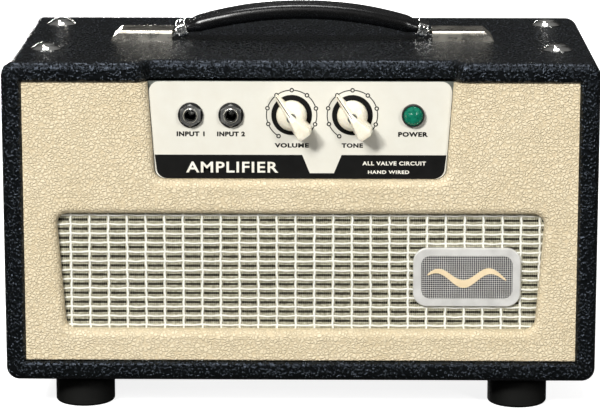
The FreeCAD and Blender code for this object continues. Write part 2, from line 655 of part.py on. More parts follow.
def build_chassis():
    half, y0, y1, z0, z1 = CHASSIS_HALF, CHASSIS_FRONT, CHASSIS_BACK, CHASSIS_BOTTOM, CHASSIS_TOP
    t = CHASSIS_T
    tray = box(-half, half, y0, y1, z0, z1)
    tray = tray.makeFillet(CHASSIS_BEND_R, edges_where(tray, lambda p: near(p.z, z0)))
    tray = tray.cut(box(-half + t, half - t, y0 + t, y1 - t, z0 + t, z1 - t))
    tray = tray.cut(box(-half + FLANGE, half - FLANGE, y0 + t, y1 - t, z1 - 2 * t, z1 + t))
    tools = [rod(r + BUSHING_HOLE_GAP, (x, y0 - 1, CONTROL_Z), (x, y0 + t + 1, CONTROL_Z))
             for x, r in front_hole_places()]
    rear = [(x, BUSHING_R) for x in SPEAKER_X] + [(FUSE_X, FUSE_R), (SWITCH_X, SWITCH_R)]
    tools += [rod(r + BUSHING_HOLE_GAP, (x, y1 - t - 1, REAR_Z), (x, y1 + 1, REAR_Z)) for x, r in rear]
    tools.append(box(INLET_X - INLET_W / 2 - 0.2, INLET_X + INLET_W / 2 + 0.2, y1 - t - 1, y1 + 1,
                     REAR_Z - INLET_H / 2 - 0.2, REAR_Z + INLET_H / 2 + 0.2))
    tools += [rod(BOLT_R + BOLT_HOLE_GAP, (x, y, z1 - 3 * t), (x, y, z1 + 1))
              for x in (-BOLT_X, BOLT_X) for y in BOLT_Y]
    for x, radius in tube_places():
        tools.append(rod(radius, (x, TUBE_Y, z0 - 1), (x, TUBE_Y, z0 + t + 1)))
    tools += [rod(LEAD_HOLE_R, (x, y, z0 - 1), (x, y, z0 + t + 1)) for x, y in lead_hole_places()]
    tools += [rod(CORE_HOLE_R, (x, y, z0 - 1), (x, y, z0 + t + 1)) for x, y in core_bolt_places()]
    export("chassis", cut_all(tray, tools))

    plate_top = OPEN_TOP - FACEPLATE_GAP
    slope = (CUTOUT_HALF_TOP - CUTOUT_HALF_BOTTOM) / (OPEN_TOP - CUTOUT_BOTTOM)
    half_top = CUTOUT_HALF_TOP - FACEPLATE_GAP - slope * FACEPLATE_GAP
    faceplate = upright_plate(CUTOUT_HALF_BOTTOM - FACEPLATE_GAP, half_top, CUTOUT_BOTTOM + FACEPLATE_GAP,
                              plate_top, CUTOUT_R, FACE_FRONT, CHASSIS_FRONT)
    holes = [rod(r + BUSHING_HOLE_GAP, (x, FACE_FRONT - 1, CONTROL_Z), (x, CHASSIS_FRONT + 1, CONTROL_Z))
             for x, r in front_hole_places()]
    export("control_panel", cut_all(faceplate, holes))


def phillips(size, depth, base, top):
    """Cross recess cut down from top at a point."""
    x, y = base
    arm = size / 2
    slim = size * 0.11
    return fuse([box(x - arm, x + arm, y - slim, y + slim, top - depth, top + 5),
                 box(x - slim, x + slim, y - arm, y + arm, top - depth, top + 5)])


def build_chassis_bolts():
    bolts, cups, nuts = [], [], []
    wood_under = OPEN_TOP + SKIN
    end = CHASSIS_TOP - CHASSIS_T - NUT_T - 1.5
    for x in (-BOLT_X, BOLT_X):
        for y in BOLT_Y:
            top = BODY_TOP
            cup = [(BOLT_R + 0.3, 0), (CUP_R, 0), (CUP_R, 0.5), (CUP_R - 0.7, 0.9), (7.3, 2.2),
                   (6.9, CUP_H), (6.4, CUP_H), (BOLT_R + 0.3, 0.9)]
            cups.append(turned(cup, (x, y, top)))
            crown = CUP_H + 1.4
            bolt = [(0, end - top), (BOLT_R, end - top), (BOLT_R, 0.9), (6.2, CUP_H), (6.1, CUP_H + 0.3),
                    (4.6, CUP_H + 0.95), (2.6, CUP_H + 1.3), (0, crown)]
            bolts.append(turned(bolt, (x, y, top)).cut(phillips(5.6, 1.8, (x, y), top + crown)))
            under = CHASSIS_TOP - CHASSIS_T
            nut = hex_bar(NUT_FLATS, (x, y, under - NUT_T), (x, y, under))
            nuts.append(nut.cut(rod(BOLT_R + RUNNING_GAP, (x, y, under - NUT_T - 1), (x, y, under + 1))))
            nuts.append(tube(6.5, BOLT_R + BOLT_HOLE_GAP, (x, y, CHASSIS_TOP), (x, y, wood_under)))
    export("chassis_bolts", bolts)
    export("chassis_bolt_washers", cups)
    export("chassis_nuts", nuts)


# ---------------------------------------------------------------- handle
def handle_screw_spots():
    """X of the two screws under each cap, measured outwards from the middle."""
    return HANDLE_CAP_INNER + HANDLE_SCREW_INSET, HANDLE_CAP_INNER + CAP_L - HANDLE_SCREW_INSET


def handle_screw_holes():
    top = BODY_TOP + BASE_T + 1
    return [rod(HANDLE_SCREW_R + SCREW_GAP, (side * x, HANDLE_Y, OPEN_TOP - 1), (side * x, HANDLE_Y, top))
            for side in (-1, 1) for x in handle_screw_spots()]


def right_cap():
    """A smooth pressed cap, open below and towards the strap."""
    x0, x1 = HANDLE_CAP_INNER, HANDLE_CAP_INNER + CAP_L
    y0, y1 = HANDLE_Y - CAP_W / 2, HANDLE_Y + CAP_W / 2
    z0, z1 = BODY_TOP, BODY_TOP + CAP_H

    def solid(inset, end_inset):
        low = z0 - (1 if inset else 0)
        points = [(x0 - end_inset, y0 + inset, low), (x1 - inset, y0 + inset, low),
                  (x1 - inset - CAP_SLOPE * 0.25, y0 + inset, z0 + CAP_H * 0.35),
                  (x1 - CAP_SLOPE, y0 + inset, z1 - inset), (x0 - end_inset, y0 + inset, z1 - inset)]
        return prism(points, 0, (0, CAP_W - 2 * inset, 0))

    outer = solid(0, 0)
    long_edges = edges_where(outer, lambda p: near(p.z, z1) and (near(p.y, y0) or near(p.y, y1)))
    outer = outer.makeFillet(CAP_R, long_edges)
    return outer.cut(solid(CAP_WALL, 1))


def tongue_slot(x):
    """Slot round the inner screw, as long as the tongue's travel."""
    reach = HANDLE_SCREW_R + 0.4
    far = x + TONGUE_TRAVEL
    y, z0, z1 = HANDLE_Y, BODY_TOP, BODY_TOP + CAP_H
    return fuse([rod(reach, (x, y, z0), (x, y, z1)), rod(reach, (far, y, z0), (far, y, z1)),
                 box(x, far, y - reach, y + reach, z0, z1)])


def strap_end():
    """Middle of the strap's right end, and its slope below level in degrees."""
    return V(STRAP_HALF, HANDLE_Y, BODY_TOP + STRAP_END_H), STRAP_ANGLE


def along_strap_end(shape):
    """Moves a shape drawn with its inner face at the origin, running to +X, onto the strap's end."""
    point, slope = strap_end()
    shape.Placement = FreeCAD.Placement(point, FreeCAD.Rotation(V(0, 1, 0), slope))
    return shape


def right_tongue():
    """Steel tongue that slides in the cap, with the crimped ferrule on the strap's end."""
    half_w, half_t = FERRULE_W / 2, FERRULE_T / 2
    ferrule = box(0, FERRULE_L, -half_w, half_w, -half_t, half_t)

    def on_corner(p):
        return near(abs(p.y), half_w) and near(abs(p.z), half_t)

    ferrule = ferrule.makeFillet(FERRULE_R, edges_where(ferrule, on_corner))
    pocket = box(-1, FERRULE_L - 1.5, -half_w + FERRULE_WALL, half_w - FERRULE_WALL,
                 -half_t + FERRULE_WALL, half_t - FERRULE_WALL)
    ferrule = along_strap_end(ferrule.cut(pocket))
    point, slope = strap_end()
    run, fall = math.cos(math.radians(slope)), math.sin(math.radians(slope))
    root_x, root_z = point.x + (FERRULE_L - 1.0) * run, point.z - (FERRULE_L - 1.0) * fall
    low = BODY_TOP + BASE_T + 0.4
    end_x = handle_screw_spots()[0] + TONGUE_TRAVEL + HANDLE_SCREW_R + 4.0
    y0 = HANDLE_Y - TONGUE_W / 2
    points = [(root_x, y0, root_z - TONGUE_T / 2), (HANDLE_CAP_INNER - 0.5, y0, low), (end_x, y0, low),
              (end_x, y0, low + TONGUE_T), (HANDLE_CAP_INNER, y0, low + TONGUE_T),
              (root_x, y0, root_z + TONGUE_T / 2)]
    strip = prism(points, 0, (0, TONGUE_W, 0)).cut(tongue_slot(handle_screw_spots()[0]))
    return fuse([ferrule, strip])


def strap():
    """The moulded strap, bent to a shallow arch, with a neck into each ferrule."""
    centre = V(0, HANDLE_Y, BODY_TOP + STRAP_RISE - STRAP_R)
    half_w, half_t = STRAP_W / 2, STRAP_T / 2
    top = BODY_TOP + STRAP_RISE
    points = [(0, HANDLE_Y - half_w, top - half_t), (0, HANDLE_Y + half_w, top - half_t),
              (0, HANDLE_Y + half_w, top + half_t), (0, HANDLE_Y - half_w, top + half_t)]
    face = Part.Face(Part.Wire(rounded_outline(points, [half_t * 0.8] * 4)))
    face.rotate(centre, V(0, 1, 0), -STRAP_ANGLE)
    arch = face.revolve(centre, V(0, 1, 0), 2 * STRAP_ANGLE)
    gap = 0.2
    neck = box(-1, FERRULE_L - 1.7, -FERRULE_W / 2 + FERRULE_WALL + gap, FERRULE_W / 2 - FERRULE_WALL - gap,
               -FERRULE_T / 2 + FERRULE_WALL + gap, FERRULE_T / 2 - FERRULE_WALL - gap)
    neck = along_strap_end(neck)
    return fuse([arch, neck, mirrored(neck)])


def build_handle():
    cap, tongue = right_cap(), right_tongue()
    export("handle_cap_right", cap)
    export("handle_cap_left", mirrored(cap))
    export("handle_tongue_right", tongue)
    export("handle_tongue_left", mirrored(tongue))
    export("handle_grip", strap())
    plate = box(HANDLE_CAP_INNER + 1.5, HANDLE_CAP_INNER + CAP_L - 3.0,
                HANDLE_Y - CAP_W / 2 + CAP_WALL + 0.3, HANDLE_Y + CAP_W / 2 - CAP_WALL - 0.3,
                BODY_TOP, BODY_TOP + BASE_T)
    plate = cut_all(plate, handle_screw_holes())
    export("handle_base_plates", [plate, mirrored(plate)])
    screws = []
    inner, outer = handle_screw_spots()
    over_tongue = BASE_T + TONGUE_T + 0.6
    for side in (-1, 1):
        for x, seat in ((inner, over_tongue), (outer, BASE_T)):
            screws.append(turned([(0, -BOARD + 1), (HANDLE_SCREW_R, -BOARD + 3), (HANDLE_SCREW_R, seat),
                                  (3.6, seat), (3.4, seat + 0.9), (0, seat + 1.2)],
                                 (side * x, HANDLE_Y, BODY_TOP)))
    export("handle_screws", screws)


# ---------------------------------------------------------------- jacks, pots and lamp
def jack(x, z, face, stack):
    """Body, bushing, washer and nut of a jack on a wall whose outer face is at y = face.

    It is drawn for the front wall. stack is the thickness of metal that it clamps.
    """
    def at(y):
        return (x, y, z)

    inside = face + stack
    tip = face - JACK_PROUD
    start = inside + JACK_FLANGE_T
    bushing = fuse([rod(BUSHING_R, at(tip), at(inside)), rod(JACK_FLANGE_R, at(inside), at(start))])
    bushing = bushing.cut(rod(JACK_BORE_R, at(tip - 1), at(start + 1)))
    wide, long, high = JACK_BODY
    body = box(x - wide / 2, x + wide / 2, start, start + long, z - high / 2, z + high / 2)
    body = body.cut(rod(JACK_BORE_R + 0.5, at(start - 1), at(start + long - JACK_BODY_END)))
    washer = tube(JACK_WASHER_R, BUSHING_R + RUNNING_GAP, at(face - JACK_WASHER_T), at(face))
    nut_y = face - JACK_WASHER_T
    nut = hex_bar(HEX_FLATS, at(nut_y - JACK_NUT_T), at(nut_y), 30.0)
    turned_down = [(0, 0), (JACK_NUT_R, 0), (JACK_NUT_R, JACK_NUT_T - 0.6), (JACK_NUT_R - 0.8, JACK_NUT_T),
                   (0, JACK_NUT_T)]
    nut = nut.common(turned(turned_down, at(nut_y), (0, -1, 0)))
    nut = nut.cut(rod(BUSHING_R + RUNNING_GAP, at(nut_y - JACK_NUT_T - 1), at(nut_y + 1)))
    return body, bushing, washer, nut


def build_jacks():
    groups = [[], [], [], []]
    front_stack = FACEPLATE_T + CHASSIS_T
    for x in JACK_X:
        for group, piece in zip(groups, jack(x, CONTROL_Z, FACE_FRONT, front_stack)):
            group.append(piece)
    for x in SPEAKER_X:
        for group, piece in zip(groups, jack(-x, REAR_Z, -CHASSIS_BACK, CHASSIS_T)):
            piece = piece.copy()
            piece.rotate(V(0, 0, 0), V(0, 0, 1), 180)
            group.append(piece)
    for name, group in zip(("jack_bodies", "jack_bushings", "jack_washers", "jack_nuts"), groups):
        export(name, group)


def knob_shape():
    """Pointer knob in its own frame: +Z out of the panel, the pointer along +X."""
    hub = turned([(0, 0), (KNOB_HUB_R, 0), (KNOB_HUB_R, 2.0), (KNOB_HUB_R - 1.2, KNOB_HUB_H - 1.5),
                  (KNOB_HUB_R - 3.0, KNOB_HUB_H), (0, KNOB_HUB_H + 0.5)])
    plan = [(KNOB_TIP, -0.9, 0.6), (KNOB_TIP, 0.9, 0.6), (0, 3.9, 0.6), (-KNOB_TAIL + 2.5, 5.0, 0.6),
            (-KNOB_TAIL, 0, 0.6), (-KNOB_TAIL + 2.5, -5.0, 0.6), (0, -3.9, 0.6)]
    bar = prism(plan, 0, (0, 0, KNOB_H - 0.6))
    side = [(KNOB_TIP + 1, -20, 5.0), (-2.0, -20, KNOB_H), (-KNOB_TAIL - 1, -20, KNOB_H),
            (-KNOB_TAIL - 1, -20, KNOB_H + 9), (KNOB_TIP + 1, -20, KNOB_H + 9)]
    bar = bar.cut(prism(side, 0, (0, 40, 0)))
    knob = fuse([hub, bar])
    radius, depth = KNOB_RECESS
    recess = fuse([rod(radius, (0, 0, -1), (0, 0, depth)),
                   rod(SHAFT_R + RUNNING_GAP, (0, 0, 0), (0, 0, KNOB_BORE_L))])
    return knob.cut(recess)


def on_face(shape, x, z, y):
    """Turns a shape whose +Z points outwards onto the front wall, at the pointer's rest angle."""
    stand = FreeCAD.Rotation(V(1, 0, 0), 90)
    turn = FreeCAD.Rotation(V(0, 0, 1), POINTER_ANGLE)
    placed = shape.copy()
    placed.Placement = FreeCAD.Placement(V(x, y, z), stand.multiply(turn))
    return placed


def build_pots():
    inside = CHASSIS_FRONT + CHASSIS_T
    bodies, nuts = [], []
    for name, x in (("volume", VOLUME_X), ("tone", TONE_X)):
        def at(y):
            return (x, y, CONTROL_Z)

        tip = FACE_FRONT - POT_PROUD
        lugs = [box(x + dx - 1.0, x + dx + 1.0, inside + 1.5, inside + 2.3, CONTROL_Z - 17, CONTROL_Z - 9)
                for dx in (-5, 0, 5)]
        can = fuse([rod(BUSHING_R, at(tip), at(inside)), rod(POT_R, at(inside), at(inside + POT_L)), *lugs])
        bodies.append(can.cut(rod(SHAFT_R + RUNNING_GAP, at(tip - 1), at(inside + POT_L - 2))))
        nut = hex_bar(HEX_FLATS, at(FACE_FRONT - POT_NUT_T), at(FACE_FRONT))
        nuts.append(nut.cut(rod(BUSHING_R + RUNNING_GAP, at(FACE_FRONT - 9), at(FACE_FRONT + 1))))
        export(f"{name}_shaft", rod(SHAFT_R, at(FACE_FRONT - SHAFT_PROUD), at(inside + POT_L - 2.5)))
        export(f"{name}_knob", on_face(knob_shape(), x, CONTROL_Z, FACE_FRONT - KNOB_GAP))
    export("potentiometers", bodies)
    export("pot_nuts", nuts)


def build_lamp():
    def at(y):
        return (LAMP_X, y, CONTROL_Z)

    inner = JEWEL_R + 0.1
    rim = [(inner, 0), (LAMP_R, 0), (LAMP_R, LAMP_BEZEL_T - 1.0), (LAMP_R - 0.5, LAMP_BEZEL_T),
           (inner, LAMP_BEZEL_T)]
    bezel = turned(rim, at(FACE_FRONT), (0, -1, 0))
    barrel = tube(LAMP_BODY_R, LAMP_BODY_R - 0.8, at(FACE_FRONT - 0.8), at(CHASSIS_FRONT + LAMP_BODY_L))
    ring = tube(LAMP_R, LAMP_BODY_R - 0.8, at(FACE_FRONT - 0.8), at(FACE_FRONT))
    export("pilot_lamp_bezel", fuse([bezel, ring, barrel]))
    base = FACE_FRONT - 0.9
    dome = JEWEL_PROUD + 0.6
    jewel = turned([(0, 0), (JEWEL_R, 0), (JEWEL_R, LAMP_BEZEL_T - 1.6), (JEWEL_R - 1.3, dome - 1.3),
                    (JEWEL_R - 3.0, dome - 0.4), (0, dome)], (LAMP_X, base, CONTROL_Z), (0, -1, 0))
    export("pilot_lamp_jewel", jewel)
    bulb_y = CHASSIS_FRONT + 4.0
    bulb = turned([(0, 0), (2.6, 1.2), (3.2, 4.0), (2.6, 8.0), (3.4, 8.2), (3.4, 17.0), (0, 17.0)],
                  (LAMP_X, bulb_y, CONTROL_Z), (0, 1, 0))
    export("pilot_lamp_bulb", bulb)


# ---------------------------------------------------------------- valves and transformers
def tube_places():
    """X and chassis hole radius of each valve socket."""
    return [(POWER_TUBE_X, 13.0), *((x, 8.5) for x in PREAMP_X)]


def lead_hole_places():
    return [(POWER_CORE_AT[0] - 48, POWER_CORE_AT[1] - 20), (OUTPUT_CORE_AT[0] + 32, OUTPUT_CORE_AT[1])]


def cores():
    return ((POWER_CORE, POWER_CORE_AT), (OUTPUT_CORE, OUTPUT_CORE_AT))


def core_bolt_places():
    places = []
    for (w, stack, h), (x, y) in cores():
        places += [(x + side * (w / 2 + CORE_BOLT_OUT), y) for side in (-1, 1)]
    return places


def build_valves():
    under = CHASSIS_BOTTOM
    sockets = []
    for x, radius in tube_places():
        socket = fuse([rod(radius + SOCKET_RIM, (x, TUBE_Y, under - SOCKET_T), (x, TUBE_Y, under)),
                       rod(radius - 0.2, (x, TUBE_Y, under), (x, TUBE_Y, under + SOCKET_L))])
        bore = rod(radius * 0.35, (x, TUBE_Y, under - 2 * SOCKET_T), (x, TUBE_Y, under + SOCKET_L + 1))
        sockets.append(socket.cut(bore))
    export("tube_sockets", sockets)

    seat = under - SOCKET_T
    down = (0, 0, -1)
    base = [(0, 0), (BASE_R - 1.0, 0), (BASE_R, 1.0), (BASE_R, BASE_L), (POWER_GLASS_R - 2, BASE_L),
            (0, BASE_L)]
    export("power_tube_base", turned(base, (POWER_TUBE_X, TUBE_Y, seat), down))
    length = POWER_TUBE_L - BASE_L
    r, w = POWER_GLASS_R, GLASS_T
    outside = [(0, 0), (r - 2, 0), (r, 4), (r, length - 10), (r - 2.5, length - 4), (r - 8, length - 0.8),
               (0, length)]
    inside = [(0, w), (r - 3, w), (r - w, 4.5), (r - w, length - 10.3), (r - 3.3, length - 5),
              (r - 8.5, length - 2), (0, length - w - 0.2)]
    at = (POWER_TUBE_X, TUBE_Y, seat - BASE_L)
    export("power_tube_glass", turned(outside, at, down).cut(turned(inside, at, down)))

    small, shields = [], []
    r, length = PREAMP_GLASS_R, PREAMP_TUBE_L
    for x in PREAMP_X:
        at = (x, TUBE_Y, seat)
        outside = [(0, 0), (r, 0), (r, length - 6), (r - 3, length - 2), (2.0, length - 1),
                   (0, length + 3)]
        inside = [(0, w), (r - w, w), (r - w, length - 6.4), (r - 3.8, length - 3), (0, length - 2.2)]
        small.append(turned(outside, at, down).cut(turned(inside, at, down)))
        s, t, end = SHIELD_R, SHIELD_T, SHIELD_L
        can = [(s - t, 0), (s, 0), (s, end - 2), (s - 3, end), (s - SHIELD_LIP, end),
               (s - SHIELD_LIP, end - t), (s - 3 - t, end - t), (s - t, end - 2.4)]
        shields.append(turned(can, at, down))
    export("preamp_tubes", small)
    export("tube_shields", shields)


def core_stack(size, place):
    """Laminated core with two windows and a bolted foot, hung under the chassis."""
    w, stack, h = size
    x, y = place
    top = CHASSIS_BOTTOM
    window_w, window_h = w / 6, h - w / 3
    core = box(x - w / 2, x + w / 2, y - stack / 2, y + stack / 2, top - h, top)
    foot = box(x - w / 2 - CORE_FOOT, x + w / 2 + CORE_FOOT, y - stack / 2 + 3, y + stack / 2 - 3,
               top - CORE_FOOT_T, top)
    tools = []
    for side in (-1, 1):
        middle = x + side * (w / 6 + window_w / 2)
        tools.append(box(middle - window_w / 2, middle + window_w / 2, y - stack, y + stack,
                         top - h / 2 - window_h / 2, top - h / 2 + window_h / 2))
        bolt_x = x + side * (w / 2 + CORE_BOLT_OUT)
        tools.append(rod(CORE_HOLE_R, (bolt_x, y, top - 5), (bolt_x, y, top + 1)))
    return cut_all(fuse([core, foot]), tools)


def core_coil(size, place):
    """Winding round the core's middle leg, filling both windows."""
    w, stack, h = size
    x, y = place
    middle = CHASSIS_BOTTOM - h / 2
    leg, window_w, window_h = w / 3, w / 6, h - w / 3
    reach_x = leg / 2 + window_w - COIL_GAP
    reach_y = stack / 2 + window_w - COIL_GAP
    half_h = window_h / 2 - COIL_GAP
    coil = box(x - reach_x, x + reach_x, y - reach_y, y + reach_y, middle - half_h, middle + half_h)

    def upright(edge):
        ends = edge.Vertexes[0].Point, edge.Vertexes[-1].Point
        return near(ends[0].x, ends[1].x) and near(ends[0].y, ends[1].y)

    coil = coil.makeFillet(COIL_R, [edge for edge in coil.Edges if upright(edge)])
    return coil.cut(box(x - leg / 2 - COIL_GAP, x + leg / 2 + COIL_GAP,
                        y - stack / 2 - COIL_GAP, y + stack / 2 + COIL_GAP, 0, BIG))


def end_covers():
    """Two pressed covers over the power transformer's winding."""
    w, stack, h = POWER_CORE
    x, y = POWER_CORE_AT
    top = CHASSIS_BOTTOM - 1.0
    half, wall = w / 2 - 1, COVER_WALL
    near_y = y + stack / 2
    far_y = near_y + w / 6 + 3.0
    cover = box(x - half, x + half, near_y, far_y, top - h + 2, top)
    cover = cover.makeFillet(COVER_R, edges_where(cover, lambda p: near(p.y, far_y)))
    hollow = box(x - half + wall, x + half - wall, near_y - 1, far_y - wall, top - h + 2 + wall, top - wall)
    hollow = hollow.makeFillet(COVER_R - wall, edges_where(hollow, lambda p: near(p.y, far_y - wall)))
    cover = cover.cut(hollow)
    return [cover, cover.mirror(V(0, y, 0), V(0, 1, 0))]


def build_transformers():
    export("transformer_cores", [core_stack(size, place) for size, place in cores()])
    export("transformer_coils", [core_coil(size, place) for size, place in cores()])
    head = CHASSIS_T + 2.4
    profile = [(0, -5.0), (3.0, -5.0), (3.0, -CORE_FOOT_T), (1.5, -CORE_FOOT_T), (1.5, CHASSIS_T),
               (3.0, CHASSIS_T), (3.0, head), (0, head)]
    export("transformer_bolts", [turned(profile, (x, y, CHASSIS_BOTTOM)) for x, y in core_bolt_places()])
    export("transformer_covers", end_covers())


# ---------------------------------------------------------------- circuit board
def build_board():
    length, width, thick = BOARD_PCB
    top = PCB_Z + thick
    spots = [(sx * (length / 2 - POST_INSET), sy * (width / 2 - POST_INSET))
             for sx in (-1, 1) for sy in (-1, 1)]
    holes = [rod(POST_NECK_R + SCREW_GAP, (x, y, PCB_Z - 1), (x, y, top + 1)) for x, y in spots]
    pcb = box(-length / 2, length / 2, -width / 2, width / 2, PCB_Z, top)
    export("circuit_board", cut_all(pcb, holes))
    floor = CHASSIS_BOTTOM + CHASSIS_T
    under, over = PCB_Z - floor, top - floor
    post = [(0, 0), (POST_R, 0), (POST_R, under), (POST_NECK_R, under), (POST_NECK_R, over),
            (POST_R, over), (POST_R, over + 2), (0, over + 2)]
    export("board_standoffs", [turned(post, (x, y, floor)) for x, y in spots])
    caps = []
    radius, long = FILTER_CAP
    for y in FILTER_CAP_ROWS:
        z = top + radius + CAP_LIFT
        caps.append(rod(radius, (FILTER_CAP_X, y, z), (FILTER_CAP_X + long, y, z)))
    radius, long = SIGNAL_CAP
    for x in SIGNAL_CAP_COLUMNS:
        for y in SIGNAL_CAP_ROWS:
            z = top + radius + CAP_LIFT
            caps.append(rod(radius, (x, y - long / 2, z), (x, y + long / 2, z)))
    export("capacitors", caps)


# ---------------------------------------------------------------- rear fittings
def on_rear(x, out):
    """A point level with the rear fittings, out from the chassis's rear wall."""
    return (x, CHASSIS_BACK + out, REAR_Z)


def build_inlet():
    """Mains inlet: flange, body with a three-pin mouth, and its pins."""
    x, y, z, w, h = INLET_X, CHASSIS_BACK, REAR_Z, INLET_W, INLET_H
    rim = 2.5
    half = w / 2 + rim
    flange = upright_plate(half, half, z - h / 2 - rim, z + h / 2 + rim, 2.0, y, y + INLET_FLANGE)
    flange.translate(V(x, 0, 0))
    inlet = fuse([flange, box(x - w / 2, x + w / 2, y - INLET_L, y, z - h / 2, z + h / 2)])
    floor = y - 14
    outline = ((-12, -8), (12, -8), (12, 4), (7.5, 8), (-7.5, 8), (-12, 4))
    mouth = [(x + dx, floor, z + dz) for dx, dz in outline]
    inlet = inlet.cut(prism(mouth, 0, (0, 20, 0)))
    pins = [box(x + dx - 1, x + dx + 1, y - INLET_L + 2, y - 4, z + dz - 2, z + dz + 2)
            for dx, dz in ((-7, -2.5), (7, -2.5), (0, 2.5))]
    export("mains_inlet", fuse([inlet, *pins]))


def build_fuse():
    x, radius = FUSE_X, FUSE_R
    flange_r, flange_t = FUSE_FLANGE
    holder = fuse([rod(flange_r, on_rear(x, 0), on_rear(x, flange_t)),
                   rod(radius, on_rear(x, -FUSE_L), on_rear(x, 0))])
    bore = rod(radius - FUSE_BARREL_WALL, on_rear(x, -FUSE_L + 2), on_rear(x, 4))
    export("fuse_holder", holder.cut(bore))
    cartridge_r, cartridge_l, depth = CARTRIDGE
    export("fuse", rod(cartridge_r, on_rear(x, -depth - cartridge_l), on_rear(x, -depth)))
    neck, under, end = radius - 1.1, flange_t + 0.2, FUSE_CAP_L
    profile = [(0, -4), (neck, -4), (neck, under), (FUSE_CAP_R, under), (FUSE_CAP_R, end),
               (FUSE_CAP_R - 1, end + 1), (0, end + 1)]
    cap = turned(profile, on_rear(x, 0), (0, 1, 0))
    slot = box(x - 5, x + 5, CHASSIS_BACK + end - 0.6, CHASSIS_BACK + 20, REAR_Z - 0.7, REAR_Z + 0.7)
    export("fuse_cap", cap.cut(slot))


def build_switch():
    """Toggle switch, and its lever on a cross pin in the bushing."""
    x, y, z = SWITCH_X, CHASSIS_BACK, REAR_Z
    wide, long, high = SWITCH_BODY
    inner_y = y - CHASSIS_T
    body = box(x - wide / 2, x + wide / 2, inner_y - long, inner_y, z - high / 2, z + high / 2)
    bush = rod(SWITCH_R, on_rear(x, -CHASSIS_T), on_rear(x, SWITCH_PROUD))
    nuts = [hex_bar(14.0, on_rear(x, 0), on_rear(x, 2.2)), rod(7.9, on_rear(x, 0), on_rear(x, 0.6))]
    mouth = SWITCH_PROUD + 1
    throat = turned([(0, 0), (3.7, 0), (3.7, 6), (4.6, mouth), (0, mouth)], on_rear(x, 0), (0, 1, 0))
    export("power_switch", fuse([body, bush, *nuts]).cut(throat))
    pivot = V(x, y + LEVER_PIVOT, z)
    end = LEVER_L
    bat = turned([(0, -3.0), (2.4, -2.2), (3.2, 0), (2.4, 2.2), (1.6, 3.4), (1.7, 6), (2.9, end - 3),
                  (2.6, end - 1.0), (1.4, end - 0.2), (0, end)], tuple(pivot), (0, 1, 0))
    pin = rod(LEVER_PIN_R, (x - LEVER_PIN_HALF, pivot.y, z), (x + LEVER_PIN_HALF, pivot.y, z))
    bat = fuse([bat, pin])
    bat.rotate(pivot, V(1, 0, 0), LEVER_TILT)
    export("switch_lever", bat)


def main():
    os.makedirs("parts", exist_ok=True)
    build_cabinet()
    build_feet()
    build_front()
    build_back()
    build_chassis()
    build_chassis_bolts()
    build_handle()
    build_jacks()
    build_pots()
    build_lamp()
    build_valves()
    build_transformers()
    build_board()
    build_inlet()
    build_fuse()
    build_switch()
    print(len(NODES), "nodes")


main()
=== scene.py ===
"""Looks of a small guitar amplifier head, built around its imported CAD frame.

Metres, in the CAD's own frame: X runs to the right as seen from the front, Y to the back and
Z up, with the floor at z = 0. Shapes with fine detail are drawn in millimetres and scaled by MM.
"""

import json
import math

import bmesh
import bpy
from mathutils import Matrix, Vector, noise


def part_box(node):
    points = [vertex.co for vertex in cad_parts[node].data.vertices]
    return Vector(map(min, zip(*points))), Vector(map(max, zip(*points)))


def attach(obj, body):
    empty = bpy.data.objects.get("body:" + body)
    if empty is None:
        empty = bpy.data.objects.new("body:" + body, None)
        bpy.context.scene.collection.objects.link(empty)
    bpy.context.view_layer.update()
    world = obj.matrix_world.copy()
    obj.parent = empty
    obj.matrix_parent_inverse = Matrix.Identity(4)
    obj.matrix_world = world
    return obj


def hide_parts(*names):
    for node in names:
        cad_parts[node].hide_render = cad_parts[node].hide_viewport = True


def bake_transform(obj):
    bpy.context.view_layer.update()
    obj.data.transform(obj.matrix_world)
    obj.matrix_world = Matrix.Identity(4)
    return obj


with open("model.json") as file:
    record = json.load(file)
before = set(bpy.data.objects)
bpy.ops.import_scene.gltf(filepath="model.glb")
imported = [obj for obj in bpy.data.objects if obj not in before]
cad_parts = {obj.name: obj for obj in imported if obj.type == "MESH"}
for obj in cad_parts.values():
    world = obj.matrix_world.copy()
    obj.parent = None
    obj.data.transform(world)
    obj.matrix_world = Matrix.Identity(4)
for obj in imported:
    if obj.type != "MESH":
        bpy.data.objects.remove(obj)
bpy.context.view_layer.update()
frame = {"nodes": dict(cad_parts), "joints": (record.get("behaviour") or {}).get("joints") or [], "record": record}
MM = 0.001
JOINTS = {joint["name"]: joint for joint in frame["joints"]}
MOUNTS = {mount["name"]: mount for mount in frame["record"]["mounts"]}


# ---------------------------------------------------------------- places read from the frame
def box_mm(node):
    """(lowest corner, highest corner) of a CAD node, in millimetres."""
    low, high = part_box(node)
    return low / MM, high / MM


PLATE_LOW, PLATE_HIGH = box_mm("control_panel")
PLATE_FRONT = PLATE_LOW.y
CLOTH_LOW, CLOTH_HIGH = box_mm("grille_cloth")
BADGE_LOW, BADGE_HIGH = box_mm("badge_plate")
CHASSIS_HIGH = box_mm("chassis")[1]
JEWEL_LOW, JEWEL_HIGH = box_mm("pilot_lamp_jewel")
GRIP_LOW, GRIP_HIGH = box_mm("handle_grip")
VOLUME_AT = Vector(JOINTS["volume_turn"]["pos_m"]) / MM
TONE_AT = Vector(JOINTS["tone_turn"]["pos_m"]) / MM
LAMP_AT = (JEWEL_LOW + JEWEL_HIGH) / 2


